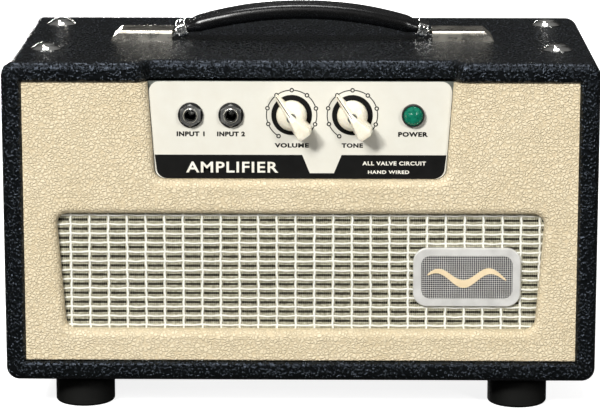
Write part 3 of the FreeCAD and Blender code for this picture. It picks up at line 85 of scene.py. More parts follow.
# ---------------------------------------------------------------- mesh helpers
def piece(name, mesh, material, body, stands_for=(), sharp=35.0):
    """Puts a finished mesh in the scene, riding on a body."""
    mesh.name = name
    made = bpy.data.objects.new(name, mesh)
    bpy.context.scene.collection.objects.link(made)
    mesh.materials.clear()
    mesh.materials.append(material)
    mesh.shade_smooth()
    mesh.set_sharp_from_angle(angle=math.radians(sharp))
    if body:
        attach(made, body)
    if stands_for:
        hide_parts(*stands_for)
    return made


def mesh_from(bm, weld=1e-7):
    """A mesh in metres with its faces turned outwards."""
    if weld:
        bmesh.ops.remove_doubles(bm, verts=bm.verts, dist=weld)
    bmesh.ops.recalc_face_normals(bm, faces=bm.faces)
    mesh = bpy.data.meshes.new("made")
    bm.to_mesh(mesh)
    bm.free()
    return mesh


def add_loft(bm, rings, looped=False):
    """Joins rings of equally many points, in metres, into a skin, closed at its ends or looped."""
    rows = [[bm.verts.new(point) for point in ring] for ring in rings]
    pairs = list(zip(rows, rows[1:]))
    if looped:
        pairs.append((rows[-1], rows[0]))
    for low, high in pairs:
        for i in range(len(low)):
            j = (i + 1) % len(low)
            bm.faces.new((low[i], low[j], high[j], high[i]))
    if not looped:
        bm.faces.new(rows[0])
        bm.faces.new(rows[-1])


def loft(rings):
    bm = bmesh.new()
    add_loft(bm, rings)
    return mesh_from(bm)


def add_turned(bm, profile, centre, outwards=-1, sides=64, looped=False):
    """Revolves (radius, distance) points, in millimetres, about the line along Y through centre.

    Distances run from centre, towards the front for outwards = -1 and to the back for 1.
    """
    middle = Vector(centre)
    angles = [2 * math.pi * k / sides for k in range(sides)]
    rings = []
    for radius, distance in profile:
        across = [(radius * math.cos(a), outwards * distance, radius * math.sin(a)) for a in angles]
        rings.append([(middle + Vector(point)) * MM for point in across])
    add_loft(bm, rings, looped=looped)


def solid_from(curve, thickness):
    """A filled curve drawn in millimetres, as a closed mesh facing -Y with its front at y = 0."""
    curve.extrude = thickness / 2
    holder = bpy.data.objects.new("holder", curve)
    mesh = bpy.data.meshes.new_from_object(holder)
    bpy.data.objects.remove(holder)
    bm = bmesh.new()
    bm.from_mesh(mesh)
    bpy.data.meshes.remove(mesh)
    bmesh.ops.remove_doubles(bm, verts=bm.verts, dist=1e-4)
    turn = Matrix.Translation((0, thickness / 2, 0)) @ Matrix.Rotation(math.pi / 2, 4, "X")
    bmesh.ops.transform(bm, matrix=turn, verts=bm.verts)
    return bm


def outline_solid(outlines, thickness):
    """Closed (x, z) outlines as a plate; one inside another is a hole."""
    curve = bpy.data.curves.new("outline", "CURVE")
    curve.dimensions = "2D"
    curve.fill_mode = "BOTH"
    for points in outlines:
        spline = curve.splines.new("POLY")
        spline.points.add(len(points) - 1)
        for place, (x, z) in zip(spline.points, points):
            place.co = (x, z, 0, 1)
        spline.use_cyclic_u = True
    return solid_from(curve, thickness)


def words_solid(words, height, width, thickness, heavy=0.05):
    """Generic lettering with capitals of that height, fitted to the width and centred on (0, 0)."""
    curve = bpy.data.curves.new("words", "FONT")
    curve.body = words
    curve.size = height
    curve.offset = heavy * height
    curve.space_character = 1.12
    curve.resolution_u = 3
    bm = solid_from(curve, thickness)
    xs = [v.co.x for v in bm.verts]
    zs = [v.co.z for v in bm.verts]
    middle = Vector(((min(xs) + max(xs)) / 2, 0, (min(zs) + max(zs)) / 2))
    size = Matrix.Diagonal((width / (max(xs) - min(xs)), 1, height / (max(zs) - min(zs)), 1))
    bmesh.ops.transform(bm, matrix=size @ Matrix.Translation(-middle), verts=bm.verts)
    return bm


def collect(parts):
    """One mesh, in metres, from (bmesh in millimetres, place, turned to the back) entries."""
    whole = bmesh.new()
    for bm, place, backwards in parts:
        turn = Matrix.Rotation(math.pi if backwards else 0.0, 4, "Z")
        bmesh.ops.transform(bm, matrix=Matrix.Translation(place) @ turn, verts=bm.verts)
        part = bpy.data.meshes.new("part")
        bm.to_mesh(part)
        bm.free()
        whole.from_mesh(part)
        bpy.data.meshes.remove(part)
    bmesh.ops.scale(whole, vec=(MM, MM, MM), verts=whole.verts)
    return mesh_from(whole, weld=0)


def circle(x, z, radius, sides=48):
    angles = [2 * math.pi * k / sides for k in range(sides)]
    return [(x + radius * math.cos(a), z + radius * math.sin(a)) for a in angles]


def arc_points(x, z, radius, start, end, count):
    """Points along an arc, its angles in degrees from +X towards +Z."""
    angles = [math.radians(start + (end - start) * k / count) for k in range(count + 1)]
    return [(x + radius * math.cos(a), z + radius * math.sin(a)) for a in angles]


def arc_band(x, z, radius, thickness, start, end):
    inner = arc_points(x, z, radius - thickness / 2, start, end, 10)
    outer = arc_points(x, z, radius + thickness / 2, end, start, 10)
    return inner + outer


def wobble(*place):
    """Smooth noise from -1 to 1, the same on every run."""
    return noise.noise(Vector(place))


# ---------------------------------------------------------------- material helpers
def screen(r, g, b):
    """A colour given as 0 to 255 on a screen, as the linear colour that shaders use."""
    def one(value):
        share = value / 255
        return share / 12.92 if share <= 0.04045 else ((share + 0.055) / 1.055) ** 2.4
    return (one(r), one(g), one(b), 1.0)


class Finish:
    """A procedural material being built. A value is a number, a colour or another node's output."""

    def __init__(self, name, **shader):
        self.material = bpy.data.materials.new(name)
        self.material.use_nodes = True
        self.tree = self.material.node_tree
        self.tree.nodes.clear()
        self.shader = self.node("BsdfPrincipled")
        output = self.node("OutputMaterial")
        self.tree.links.new(self.shader.outputs[0], output.inputs["Surface"])
        coordinates = self.node("TexCoord").outputs["Object"]
        per_metre = (1 / MM, 1 / MM, 1 / MM)
        in_mm = self.node("VectorMath", {0: coordinates, 1: per_metre}, operation="MULTIPLY")
        self.mm = in_mm.outputs[0]
        parts = self.node("SeparateXYZ", {0: self.mm})
        self.x, self.y, self.z = parts.outputs
        for key, value in shader.items():
            self.set(key.replace("_", " "), value)

    def put(self, socket, value):
        if isinstance(value, bpy.types.NodeSocket):
            self.tree.links.new(value, socket)
        else:
            socket.default_value = value

    def node(self, kind, inputs=None, **settings):
        made = self.tree.nodes.new("ShaderNode" + kind)
        for key, value in settings.items():
            setattr(made, key, value)
        for key, value in (inputs or {}).items():
            self.put(made.inputs[key], value)
        return made

    def set(self, socket, value):
        self.put(self.shader.inputs[socket], value)

    def math(self, operation, a, b=0.0):
        return self.node("Math", {0: a, 1: b}, operation=operation).outputs[0]

    def average(self, a, b):
        return self.math("MULTIPLY", self.math("ADD", a, b), 0.5)

    def remap(self, value, low, high, to_low=0.0, to_high=1.0):
        """Carries low..high smoothly onto to_low..to_high and stays there outside them."""
        inputs = {"Value": value, "From Min": low, "From Max": high, "To Min": to_low, "To Max": to_high}
        return self.node("MapRange", inputs, interpolation_type="SMOOTHSTEP").outputs[0]

    def stretched(self, x, y, z):
        return self.node("VectorMath", {0: self.mm, 1: (x, y, z)}, operation="MULTIPLY").outputs[0]

    def noise(self, per_mm, detail=3.0, rough=0.55, place=None, warp=0.0):
        inputs = {"Vector": place or self.mm, "Scale": per_mm, "Detail": detail, "Roughness": rough,
                  "Distortion": warp}
        return self.node("TexNoise", inputs).outputs[0]

    def warped(self, per_mm, reach):
        """The place in millimetres, pushed about by noise by up to about reach."""
        shift = self.node("TexNoise", {"Vector": self.mm, "Scale": per_mm, "Detail": 2.0}).outputs[1]
        centred = self.node("VectorMath", {0: shift, 1: (0.5, 0.5, 0.5)}, operation="SUBTRACT").outputs[0]
        sized = self.node("VectorMath", {0: centred, 3: 2 * reach}, operation="SCALE").outputs[0]
        return self.node("VectorMath", {0: self.mm, 1: sized}, operation="ADD").outputs[0]

    def cells(self, place, per_mm, feature="SMOOTH_F1"):
        made = self.node("TexVoronoi", {"Vector": place, "Scale": per_mm}, feature=feature)
        if feature == "SMOOTH_F1":
            made.inputs["Smoothness"].default_value = 0.4
        return made.outputs["Distance"]

    def colours(self, value, *stops):
        """A colour ramp through (position, colour) stops."""
        made = self.node("ValToRGB", {0: value})
        ramp = made.color_ramp
        for k, (position, colour) in enumerate(stops):
            stop = ramp.elements[k] if k < 2 else ramp.elements.new(position)
            stop.position = position
            stop.color = colour
        return made.outputs[0]

    def mix(self, share, a, b):
        made = self.node("Mix", None, data_type="RGBA")
        self.put(made.inputs[0], share)
        self.put(made.inputs[6], a)
        self.put(made.inputs[7], b)
        return made.outputs[2]

    def bump(self, height, depth):
        """Relief of that depth in millimetres."""
        made = self.node("Bump", {"Height": height, "Distance": depth * MM, "Strength": 1.0})
        self.set("Normal", made.outputs[0])


# ---------------------------------------------------------------- materials
def black_vinyl():
    """Pebbled black covering: raised grains about 1.8 mm apart, their raised tops paler as a painted highlight."""
    f = Finish("black_vinyl", Specular_IOR_Level=0.42, Specular_Tint=screen(214, 230, 255))
    place = f.warped(0.36, 1.0)
    grain = f.cells(place, 0.56)
    top = f.remap(grain, 0.62, 0.08)
    fine = f.noise(3.2, 2.0)
    height = f.math("ADD", top, f.math("MULTIPLY", fine, 0.12))
    mottle = f.noise(0.05, 4.0)
    base = f.colours(mottle, (0.3, screen(4, 5, 4)), (0.7, screen(9, 10, 9)))
    # painted highlight: the raised tops of the grains are mixed towards a paler grey in the base colour
    f.set("Base Color", f.mix(f.math("MULTIPLY", top, 0.3), base, screen(16, 18, 17)))
    f.set("Roughness", f.remap(f.math("ADD", top, fine), 0.3, 1.6, 0.30, 0.15))
    f.bump(height, 0.66)
    return f.material


def cream_vinyl():
    """Cream covering with a soft leather crease, its crease lines darkened with painted shade."""
    f = Finish("cream_vinyl", Specular_IOR_Level=0.4)
    place = f.warped(0.34, 1.4)
    crease = f.cells(place, 0.46, "DISTANCE_TO_EDGE")
    lift = f.remap(crease, 0.0, 0.24)
    swell = f.noise(0.60, 2.0, warp=0.6)
    fine = f.noise(2.6, 2.0)
    height = f.math("ADD", f.math("MULTIPLY", lift, 0.75), f.math("MULTIPLY", swell, 0.9))
    height = f.math("ADD", height, f.math("MULTIPLY", fine, 0.16))
    mottle = f.noise(0.03, 3.0)
    base = f.colours(mottle, (0.3, screen(229, 214, 181)), (0.7, screen(238, 224, 193)))
    # painted shade: the base colour is darkened along the crease lines
    f.set("Base Color", f.mix(f.remap(lift, 0.9, 0.0, 0.0, 0.42), base, screen(198, 175, 134)))
    f.set("Roughness", f.remap(swell, 0.3, 0.7, 0.54, 0.38))
    f.bump(height, 0.55)
    return f.material


def grille_ground():
    """Ground of the grille cloth: fine upright threads over dark and grey yarns between the cords."""
    f = Finish("grille_ground", Specular_IOR_Level=0.08)
    row = f.math("PINGPONG", f.math("SUBTRACT", f.z, ROW_AT - 40 * ROW_STEP), ROW_STEP / 2)
    column = f.math("PINGPONG", f.math("SUBTRACT", f.x, COLUMN_AT - 40 * COLUMN_STEP), COLUMN_STEP / 2)
    thread = f.math("PINGPONG", f.math("ADD", f.x, 400.0), THREAD_STEP / 2)
    uneven = f.noise(0.55, 3.0)
    sway = f.math("MULTIPLY", f.math("SUBTRACT", f.noise(0.13, 2.0), 0.5), 0.7)
    middle = f.math("ADD", row, sway)
    dark_row = f.remap(middle, ROW_STEP / 2 - 0.98, ROW_STEP / 2 - 0.70)
    grey_row = f.remap(f.math("ABSOLUTE", f.math("SUBTRACT", row, 1.35)), 0.34, 0.14)
    gap = f.remap(thread, 0.14, 0.34)
    far_from_cord = f.remap(column, 0.75, 1.35)
    ground = f.colours(uneven, (0.35, screen(150, 146, 124)), (0.68, screen(206, 202, 180)))
    grey = f.math("MULTIPLY", f.math("MULTIPLY", grey_row, gap), 0.85)
    dark = f.math("MULTIPLY", dark_row, f.remap(thread, 0.0, 0.2, 0.55, 1.0))
    dark = f.math("MULTIPLY", dark, far_from_cord)
    colour = f.mix(grey, ground, screen(64, 60, 46))
    f.set("Base Color", f.mix(f.math("MULTIPLY", dark, 0.99), colour, screen(7, 5, 2)))
    f.set("Roughness", f.remap(uneven, 0.3, 0.7, 0.75, 0.92))
    ribs = f.math("PINGPONG", f.z, ROW_STEP / 8)
    f.bump(f.average(ribs, f.remap(thread, 0.35, 0.0)), 0.22)
    return f.material


def white_cord():
    """Twisted off-white cord of the grille cloth."""
    f = Finish("white_cord", Specular_IOR_Level=0.25, Sheen_Weight=0.2)
    twist = f.node("TexWave", {"Vector": f.mm, "Scale": 0.42, "Distortion": 1.2, "Detail": 2.0},
                   bands_direction="DIAGONAL").outputs[1]
    tone = f.noise(0.2, 3.0)
    base = f.colours(tone, (0.3, screen(240, 239, 230)), (0.7, screen(252, 252, 246)))
    f.set("Base Color", f.mix(f.math("MULTIPLY", twist, 0.18), base, screen(190, 186, 166)))
    f.set("Roughness", f.remap(tone, 0.3, 0.7, 0.7, 0.88))
    f.bump(twist, 0.12)
    return f.material


def metal(name, colour, low, high, grain=(1.0, 1.0, 1.0), depth=0.012):
    """Plated or bare metal with fine lines, smears and a faint tarnish."""
    f = Finish(name, Metallic=1.0)
    smear = f.noise(0.09, 4.0)
    lines = f.noise(0.35, 5.0, 0.7, place=f.stretched(*grain))
    pale = screen(*colour)
    dull = screen(*[0.86 * c for c in colour])
    f.set("Base Color", f.colours(smear, (0.35, dull), (0.62, pale)))
    f.set("Roughness", f.remap(f.average(lines, smear), 0.3, 0.7, low, high))
    f.bump(lines, depth)
    return f.material


def moulded(name, dark, pale, low, high, bumps=1.2, depth=0.02, **shader):
    """Moulded plastic, rubber, board or paint: mottled, with a fine skin."""
    f = Finish(name, **shader)
    mottle = f.noise(0.12, 4.0)
    skin = f.noise(bumps, 3.0)
    f.set("Base Color", f.colours(mottle, (0.32, screen(*dark)), (0.68, screen(*pale))))
    f.set("Roughness", f.remap(f.average(mottle, skin), 0.3, 0.7, low, high))
    f.bump(skin, depth)
    return f.material


def wood(name, dark, pale):
    """Raw plywood: long figure with fine pores."""
    f = Finish(name, Specular_IOR_Level=0.3)
    figure = f.noise(0.05, 5.0, 0.6, place=f.stretched(0.25, 2.2, 2.2), warp=0.8)
    pores = f.noise(0.9, 3.0, 0.6, place=f.stretched(0.15, 1.6, 1.6))
    base = f.colours(figure, (0.34, screen(*dark)), (0.66, screen(*pale)))
    filled = screen(*[0.6 * c for c in dark])
    f.set("Base Color", f.mix(f.remap(pores, 0.62, 0.78, 0.0, 0.45), base, filled))
    f.set("Roughness", f.remap(pores, 0.3, 0.7, 0.6, 0.8))
    f.bump(pores, 0.06)
    return f.material


def strap_vinyl():
    """Moulded black strap: smooth skin with faint lengthwise streaks in its colour."""
    f = Finish("strap_vinyl", Specular_IOR_Level=0.42)
    skin = f.noise(1.6, 3.0)
    lengthwise = f.noise(0.35, 3.0, place=f.stretched(0.12, 1.4, 1.4))
    f.set("Base Color", f.colours(lengthwise, (0.35, screen(4, 4, 4)), (0.7, screen(10, 10, 11))))
    f.set("Roughness", f.remap(skin, 0.3, 0.7, 0.20, 0.30))
    f.bump(f.math("ADD", skin, f.math("MULTIPLY", lengthwise, 0.6)), 0.03)
    return f.material


def jewel_green():
    """Moulded green lens over a pilot lamp, unlit, given a faint painted glow."""
    f = Finish("jewel_green", Transmission_Weight=0.35, IOR=1.5, Coat_Weight=0.6, Coat_Roughness=0.05)
    cloud = f.noise(0.35, 3.0)
    f.set("Base Color", f.colours(cloud, (0.3, screen(0, 92, 72)), (0.7, screen(22, 140, 110))))
    f.set("Roughness", f.remap(cloud, 0.3, 0.7, 0.08, 0.2))
    # painted glow: the lamp is unlit, yet the lens emits a faint green light
    f.set("Emission Color", screen(20, 150, 118))
    f.set("Emission Strength", 0.10)
    f.bump(cloud, 0.05)
    return f.material


def valve_glass():
    """Blown glass with a faint haze."""
    f = Finish("valve_glass", Transmission_Weight=1.0, IOR=1.46)
    haze = f.noise(0.12, 3.0)
    f.set("Base Color", f.colours(haze, (0.3, screen(225, 232, 230)), (0.7, screen(246, 250, 248))))
    f.set("Roughness", f.remap(haze, 0.35, 0.7, 0.01, 0.07))
    f.bump(haze, 0.02)
    return f.material


def floor_paper():
    """Plain white paper sweep."""
    f = Finish("floor_paper", Specular_IOR_Level=0.1)
    fibre = f.noise(0.08, 4.0)
    f.set("Base Color", f.colours(fibre, (0.3, screen(206, 206, 206)), (0.7, screen(212, 212, 212))))
    f.set("Roughness", f.remap(fibre, 0.3, 0.7, 0.85, 0.95))
    f.set("Emission Color", (1.0, 1.0, 1.0, 1.0))
    f.set("Emission Strength", 0.85)
    f.bump(fibre, 0.01)
    return f.material


# ---------------------------------------------------------------- grille cloth
COLUMN_AT = CLOTH_LOW.x + 27.5   # an upright cord, and the step to the next
COLUMN_STEP = 11.88
ROW_AT = CLOTH_HIGH.z - 19.8     # a level cord, and the step to the next
ROW_STEP = 5.96
THREAD_STEP = 1.32           # fine upright threads between the cords
CORD_HALF_W = 0.60
CORD_HALF_T = 0.36
CORD_APART = 0.02            # upright and level cords, from the cloth's front
WEAVE_LIFT = 0.22
CLOTH_MARGIN = 1.0           # from the cloth's edge to the ends of its cords
CLOTH_IN_FRONT = 0.18        # the ground lies this far inside the CAD sheet's faces
CLOTH_IN_BACK = 0.1


def lines_between(low, high, at, step):
    first = math.ceil((low - at) / step)
    last = math.floor((high - at) / step)
    return [at + step * k for k in range(first, last + 1)]


def spread(low, high, count):
    """Evenly spaced places from low to high, with count steps between them."""
    return [low + (high - low) * k / count for k in range(count + 1)]


def add_skin(bm, grid):
    """Faces between neighbouring lines of vertices."""
    for line, after in zip(grid, grid[1:]):
        for k in range(len(line) - 1):
            bm.faces.new((line[k], after[k], after[k + 1], line[k + 1]))


def cloth_face(bm, xs, zs, back):
    """The front or back of the cloth's ground, which sinks a little between its level cords."""
    grid = []
    for x in xs:
        line = []
        for z in zs:
            sink = 0.12 * math.sin(math.pi * (z - ROW_AT) / ROW_STEP) ** 2 + 0.03 * wobble(x / 9, z / 9, 2)
            y = CLOTH_HIGH.y - CLOTH_IN_BACK if back else CLOTH_LOW.y + CLOTH_IN_FRONT + sink
            line.append(bm.verts.new(Vector((x, y, z)) * MM))
        grid.append(line)
    add_skin(bm, grid)
    return grid


def build_ground(material):
    """The cloth's ground: a thin closed sheet that stands for the plain CAD one."""
    low, high = CLOTH_LOW, CLOTH_HIGH
    xs = spread(low.x, high.x, 4 * round((high.x - low.x) / COLUMN_STEP))
    zs = spread(low.z, high.z, 4 * round((high.z - low.z) / ROW_STEP))
    bm = bmesh.new()
    rims = []
    for back in (False, True):
        grid = cloth_face(bm, xs, zs, back)
        rims.append([grid[0], grid[-1], [line[0] for line in grid], [line[-1] for line in grid]])
    for pair in zip(*rims):
        add_skin(bm, pair)
    return piece("grille_cloth_woven", mesh_from(bm), material, "cabinet", ("grille_cloth",))


def cord_ring(middle, across, half_w):
    """An oval ring about a point, wide across the cord and thin along Y."""
    ring = []
    for k in range(8):
        a = 2 * math.pi * k / 8
        thin = Vector((0, CORD_HALF_T * math.sin(a), 0))
        ring.append((middle + across * half_w * math.cos(a) + thin) * MM)
    return ring


def upright_rings(c, x):
    """An upright cord at x, over one level cord and under the next."""
    low, high = CLOTH_LOW.z + CLOTH_MARGIN, CLOTH_HIGH.z - CLOTH_MARGIN
    rings = []
    for z in spread(low, high, round((high - low) / (ROW_STEP / 4))):
        turn = math.pi * (z - ROW_AT) / ROW_STEP
        lift = WEAVE_LIFT * math.cos(turn + math.pi * (c % 2))
        side = 0.22 * math.sin(2 * turn + c) + 0.35 * wobble(x, z / 11, 5)
        wide = CORD_HALF_W * (1.0 + 0.12 * wobble(x, z / 3, 9))
        middle = Vector((x + side, CLOTH_LOW.y - CORD_APART - lift, z))
        rings.append(cord_ring(middle, Vector((1, 0, 0)), wide))
    return rings


def level_rings(r, z):
    """A level cord at z, a little slimmer than the upright ones."""
    low, high = CLOTH_LOW.x + CLOTH_MARGIN, CLOTH_HIGH.x - CLOTH_MARGIN
    rings = []
    for x in spread(low, high, round((high - low) / (COLUMN_STEP / 6))):
        turn = math.pi * (x - COLUMN_AT) / COLUMN_STEP
        lift = WEAVE_LIFT * math.cos(turn + math.pi * (r % 2))
        side = 0.20 * math.cos(2 * turn) + 0.35 * wobble(x / 14, z, 7)
        wide = 0.85 * CORD_HALF_W * (1.0 + 0.15 * wobble(x / 3, z, 4))
        middle = Vector((x, CLOTH_LOW.y + CORD_APART + lift, z + side))
        rings.append(cord_ring(middle, Vector((0, 0, 1)), wide))
    return rings


def build_cords(name, rings_of, places, material):
    bm = bmesh.new()
    for k, place in enumerate(places):
        add_loft(bm, rings_of(k, place))
    return piece(name, mesh_from(bm), material, "cabinet")


def build_cloth(ground, cord):
    """Stretched cloth with white cords woven through it."""
    low, high, margin = CLOTH_LOW, CLOTH_HIGH, CLOTH_MARGIN
    cloth = build_ground(ground)
    columns = lines_between(low.x + margin, high.x - margin, COLUMN_AT, COLUMN_STEP)
    rows = lines_between(low.z + margin, high.z - margin, ROW_AT, ROW_STEP)
    cords = [build_cords("grille_cords_upright", upright_rings, columns, cord),
             build_cords("grille_cords_level", level_rings, rows, cord)]


# ---------------------------------------------------------------- strap handle
STRAP_END = 75.5             # where the strap enters each ferrule, from its middle
STRAP_TUCK = 4.6             # and how far it goes in
STRAP_THICK = 10.0
STRAP_ARCH = 11.3
STRAP_NECK = (20.0, 6.4)     # width and thickness inside the ferrule
STRAP_NECK_LENGTH = 9.0
FERRULE = (6.5, 23.0, 9.0)   # length, width and thickness
FERRULE_R = 2.5


def strap_section(width, thick):
    """Points (across, up) round the strap: three rounded lobes above and three below."""
    count = 36
    upper = []
    for k in range(count + 1):
        u = -1 + 2 * k / count
        lobe = min(int((u + 1) * 1.5), 2)
        v = (u + 1 - lobe * 2 / 3) * 3 - 1
        outer = lobe == 0 and v < 0 or lobe == 2 and v > 0
        bow = math.sqrt(max(0.0, 1 - v * v))
        round_top = bow if outer else 0.45 + 0.55 * bow
        upper.append((u * width / 2, round_top * thick / 2))
    lower = [(a, -b) for a, b in reversed(upper[1:-1])]
    return upper + lower


def strap_size(width, left):
    """Width and thickness of the strap that far from its end: a neck that swells into the grip."""
    neck = min(1.0, left / STRAP_NECK_LENGTH)
    neck = neck * neck * (3 - 2 * neck)
    widening = 0.55 * neck + 0.45 * min(1.0, left / 30.0)
    thickening = 0.75 * neck + 0.25 * min(1.0, left / 40.0)
    wide = STRAP_NECK[0] + (width - STRAP_NECK[0]) * widening
    thick = STRAP_NECK[1] + (STRAP_THICK - STRAP_NECK[1]) * thickening
    return wide, thick


def build_strap(material):
    """Arched strap in two halves that meet in the middle, each arching down from the middle to its end."""
    middle_y = (GRIP_LOW.y + GRIP_HIGH.y) / 2
    width = GRIP_HIGH.y - GRIP_LOW.y
    top_z = GRIP_HIGH.z - STRAP_THICK / 2
    radius = (STRAP_END ** 2 + STRAP_ARCH ** 2) / (2 * STRAP_ARCH)
    end_angle = math.asin(STRAP_END / radius)
    end_z = top_z - STRAP_ARCH
    steps = 44
    halves = ((-1, "strap_left", ("left_tongue", "grip")), (1, "strap_right", ("grip", "right_tongue")))
    for side, name, bodies in halves:
        rings = []
        for angle in spread(0.0, end_angle, steps):
            wide, thick = strap_size(width, (end_angle - angle) * radius)
            drop = radius * (1 - math.cos(angle))
            centre = Vector((side * radius * math.sin(angle), middle_y, top_z - drop))
            up = Vector((side * math.sin(angle), 0, math.cos(angle)))
            section = strap_section(wide, thick)
            rings.append([(centre + Vector((0, a, 0)) + up * b) * MM for a, b in section])
        along = Vector((side * math.cos(end_angle), 0, -math.sin(end_angle)))
        rings.append([point + along * STRAP_TUCK * MM for point in rings[-1]])
        made = piece(name, loft(rings), material, None, ("handle_grip",), sharp=50.0)
        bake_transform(made)
    return end_angle, end_z, middle_y


def rounded_box_ring(half_w, half_t, radius):
    """Points (across, up) of a rounded rectangle."""
    corner_steps = 6
    points = []
    for cx, cz, start in ((1, 1, 0), (-1, 1, 90), (-1, -1, 180), (1, -1, 270)):
        for k in range(corner_steps + 1):
            a = math.radians(start + 90 * k / corner_steps)
            points.append((cx * (half_w - radius) + radius * math.cos(a),
                           cz * (half_t - radius) + radius * math.sin(a)))
    return points


def build_ferrule_beads(material, end_angle, end_z, middle_y):
    """Rolled beads round both edges and the middle of each crimped ferrule."""
    length, width, thick = FERRULE
    ends = ((-1, "ferrule_beads_left", "left_tongue"), (1, "ferrule_beads_right", "right_tongue"))
    for side, name, body in ends:
        along = Vector((side * math.cos(end_angle), 0, -math.sin(end_angle)))
        up = Vector((side * math.sin(end_angle), 0, math.cos(end_angle)))
        start = Vector((side * STRAP_END, middle_y, end_z))
        bm = bmesh.new()
        for at, bead in ((0.55, 0.55), (length / 2, 0.35), (length - 0.55, 0.55)):
            rings = []
            for a, b in rounded_box_ring(width / 2, thick / 2, FERRULE_R):
                outward = Vector((0, a, 0)) + up * b
                lean = outward.normalized()
                centre = start + along * at + outward
                ring = []
                for k in range(8):
                    t = 2 * math.pi * k / 8
                    bulge = along * math.cos(t) + lean * 0.8 * math.sin(t)
                    ring.append((centre + bulge * bead) * MM)
                rings.append(ring)
            add_loft(bm, rings, looped=True)
        piece(name, mesh_from(bm), material, body)


# ---------------------------------------------------------------- knobs
POINTER_ANGLE = 127.4        # pointers at rest, from +X towards +Z
KNOB_GAP = 0.8               # knob above the panel
# along the pointer: place, half width at the foot, half width at the top, height
POINTER = ((16.0, 1.0, 0.6, 5.4), (11.0, 2.1, 0.9, 8.6), (4.0, 3.2, 1.3, 12.9), (-2.0, 4.2, 2.0, 15.6),
           (-7.0, 5.1, 3.2, 16.0), (-12.6, 5.7, 4.6, 15.7), (-14.9, 4.6, 3.6, 15.2))
# the hub's outline: radius, height
HUB = ((0.0, 0.0), (9.6, 0.0), (9.6, 2.6), (9.3, 4.4), (8.5, 6.3), (6.9, 7.8), (4.4, 8.8), (2.0, 9.2),
       (0.4, 9.3))


def knob_place(at, along, across, out):
    """A point of a knob in metres, from its pointer's own axes in millimetres."""
    a = math.radians(POINTER_ANGLE)
    x = at.x + along * math.cos(a) - across * math.sin(a)
    z = at.z + along * math.sin(a) + across * math.cos(a)
    return Vector((x, PLATE_FRONT - KNOB_GAP - out, z))


def build_knob(name, at, body, material, ink):
    """Pointer knob: domed hub and tapered bar, melted together and smoothed as a moulding."""
    bm = bmesh.new()
    add_turned(bm, HUB, (at.x, PLATE_FRONT - KNOB_GAP, at.z), sides=72)
    bmesh.ops.scale(bm, vec=(1 / MM,) * 3, verts=bm.verts)
    rings = []
    for along, foot, top, height in POINTER:
        section = ((-foot, 0), (-foot, 0.42 * height), (-top, height - 0.35), (-0.6 * top, height),
                   (0.6 * top, height), (top, height - 0.35), (foot, 0.42 * height), (foot, 0))
        rings.append([knob_place(at, along, across, out) for across, out in section])
    add_loft(bm, rings)
    bmesh.ops.recalc_face_normals(bm, faces=bm.faces)
    rough = bpy.data.meshes.new("knob")
    bm.to_mesh(rough)
    bm.free()
    holder = bpy.data.objects.new("holder", rough)
    bpy.context.scene.collection.objects.link(holder)
    remesh = holder.modifiers.new("melt", "REMESH")
    remesh.mode = "VOXEL"
    remesh.voxel_size = 0.27
    smooth = holder.modifiers.new("smooth", "SMOOTH")
    smooth.iterations = 5
    smooth.factor = 0.5
    bpy.context.view_layer.update()
    mesh = bpy.data.meshes.new_from_object(holder.evaluated_get(bpy.context.evaluated_depsgraph_get()))
    bpy.data.objects.remove(holder)
    mesh.transform(Matrix.Scale(MM, 4))
    piece(name + "_moulded", mesh, material, body, (name,), sharp=60.0)
    line = []
    for along, height in ((15.9, 5.45), (11.0, 8.6), (4.0, 12.9), (0.8, 14.4)):
        corners = ((-0.28, -0.7), (0.28, -0.7), (0.28, 0.12), (-0.28, 0.12))
        line.append([knob_place(at, along, across, height + out) * MM for across, out in corners])
    piece(name + "_pointer_line", loft(line), ink, body)


# ---------------------------------------------------------------- lamp and jacks
# rings of the lens: share of its radius, share of its rise
JEWEL_RINGS = ((1.0, 0.0), (1.0, 0.42), (0.88, 0.66), (0.68, 0.86), (0.36, 0.99))


def build_jewel(material):
    """Cut lens: a flat table inside two rows of facets."""
    radius = (JEWEL_HIGH.x - JEWEL_LOW.x) / 2
    rise = JEWEL_HIGH.y - JEWEL_LOW.y
    bm = bmesh.new()
    sides = 16
    rings = []
    for k, (share, height) in enumerate(JEWEL_RINGS):
        turn = math.pi / sides * (k % 2)
        ring = []
        for i in range(sides):
            a = 2 * math.pi * i / sides + turn
            ring.append(Vector((LAMP_AT.x + radius * share * math.cos(a), JEWEL_HIGH.y - rise * height,
                                LAMP_AT.z + radius * share * math.sin(a))) * MM)
        rings.append(ring)
    rows = [[bm.verts.new(point) for point in ring] for ring in rings]
    for low, high in zip(rows, rows[1:]):
        for i in range(sides):
            j = (i + 1) % sides
            bm.faces.new((low[i], low[j], high[i]))
            bm.faces.new((low[j], high[j], high[i]))
    bm.faces.new(rows[0])
    bm.faces.new(rows[-1])
    piece("pilot_lamp_jewel_cut", mesh_from(bm), material, "cabinet",
          ("pilot_lamp_jewel",), sharp=4.0)


BUSHING_R = 4.7
THREAD_PITCH = 0.8
JACK_BORE = 3.25
JACK_PROUD = 5.2             # tip of the bushing in front of the wall
JACK_FLANGE_R = 7.2
JACK_FLANGE_T = 1.5
CHASSIS_SHEET = 1.5


# the contact inside a jack: radius, distance from the wall's face
JACK_TIP = ((0.3, -13.0), (1.0, -13.0), (1.5, -11.6), (1.9, -9.6), (1.9, -8.0), (0.3, -7.6))


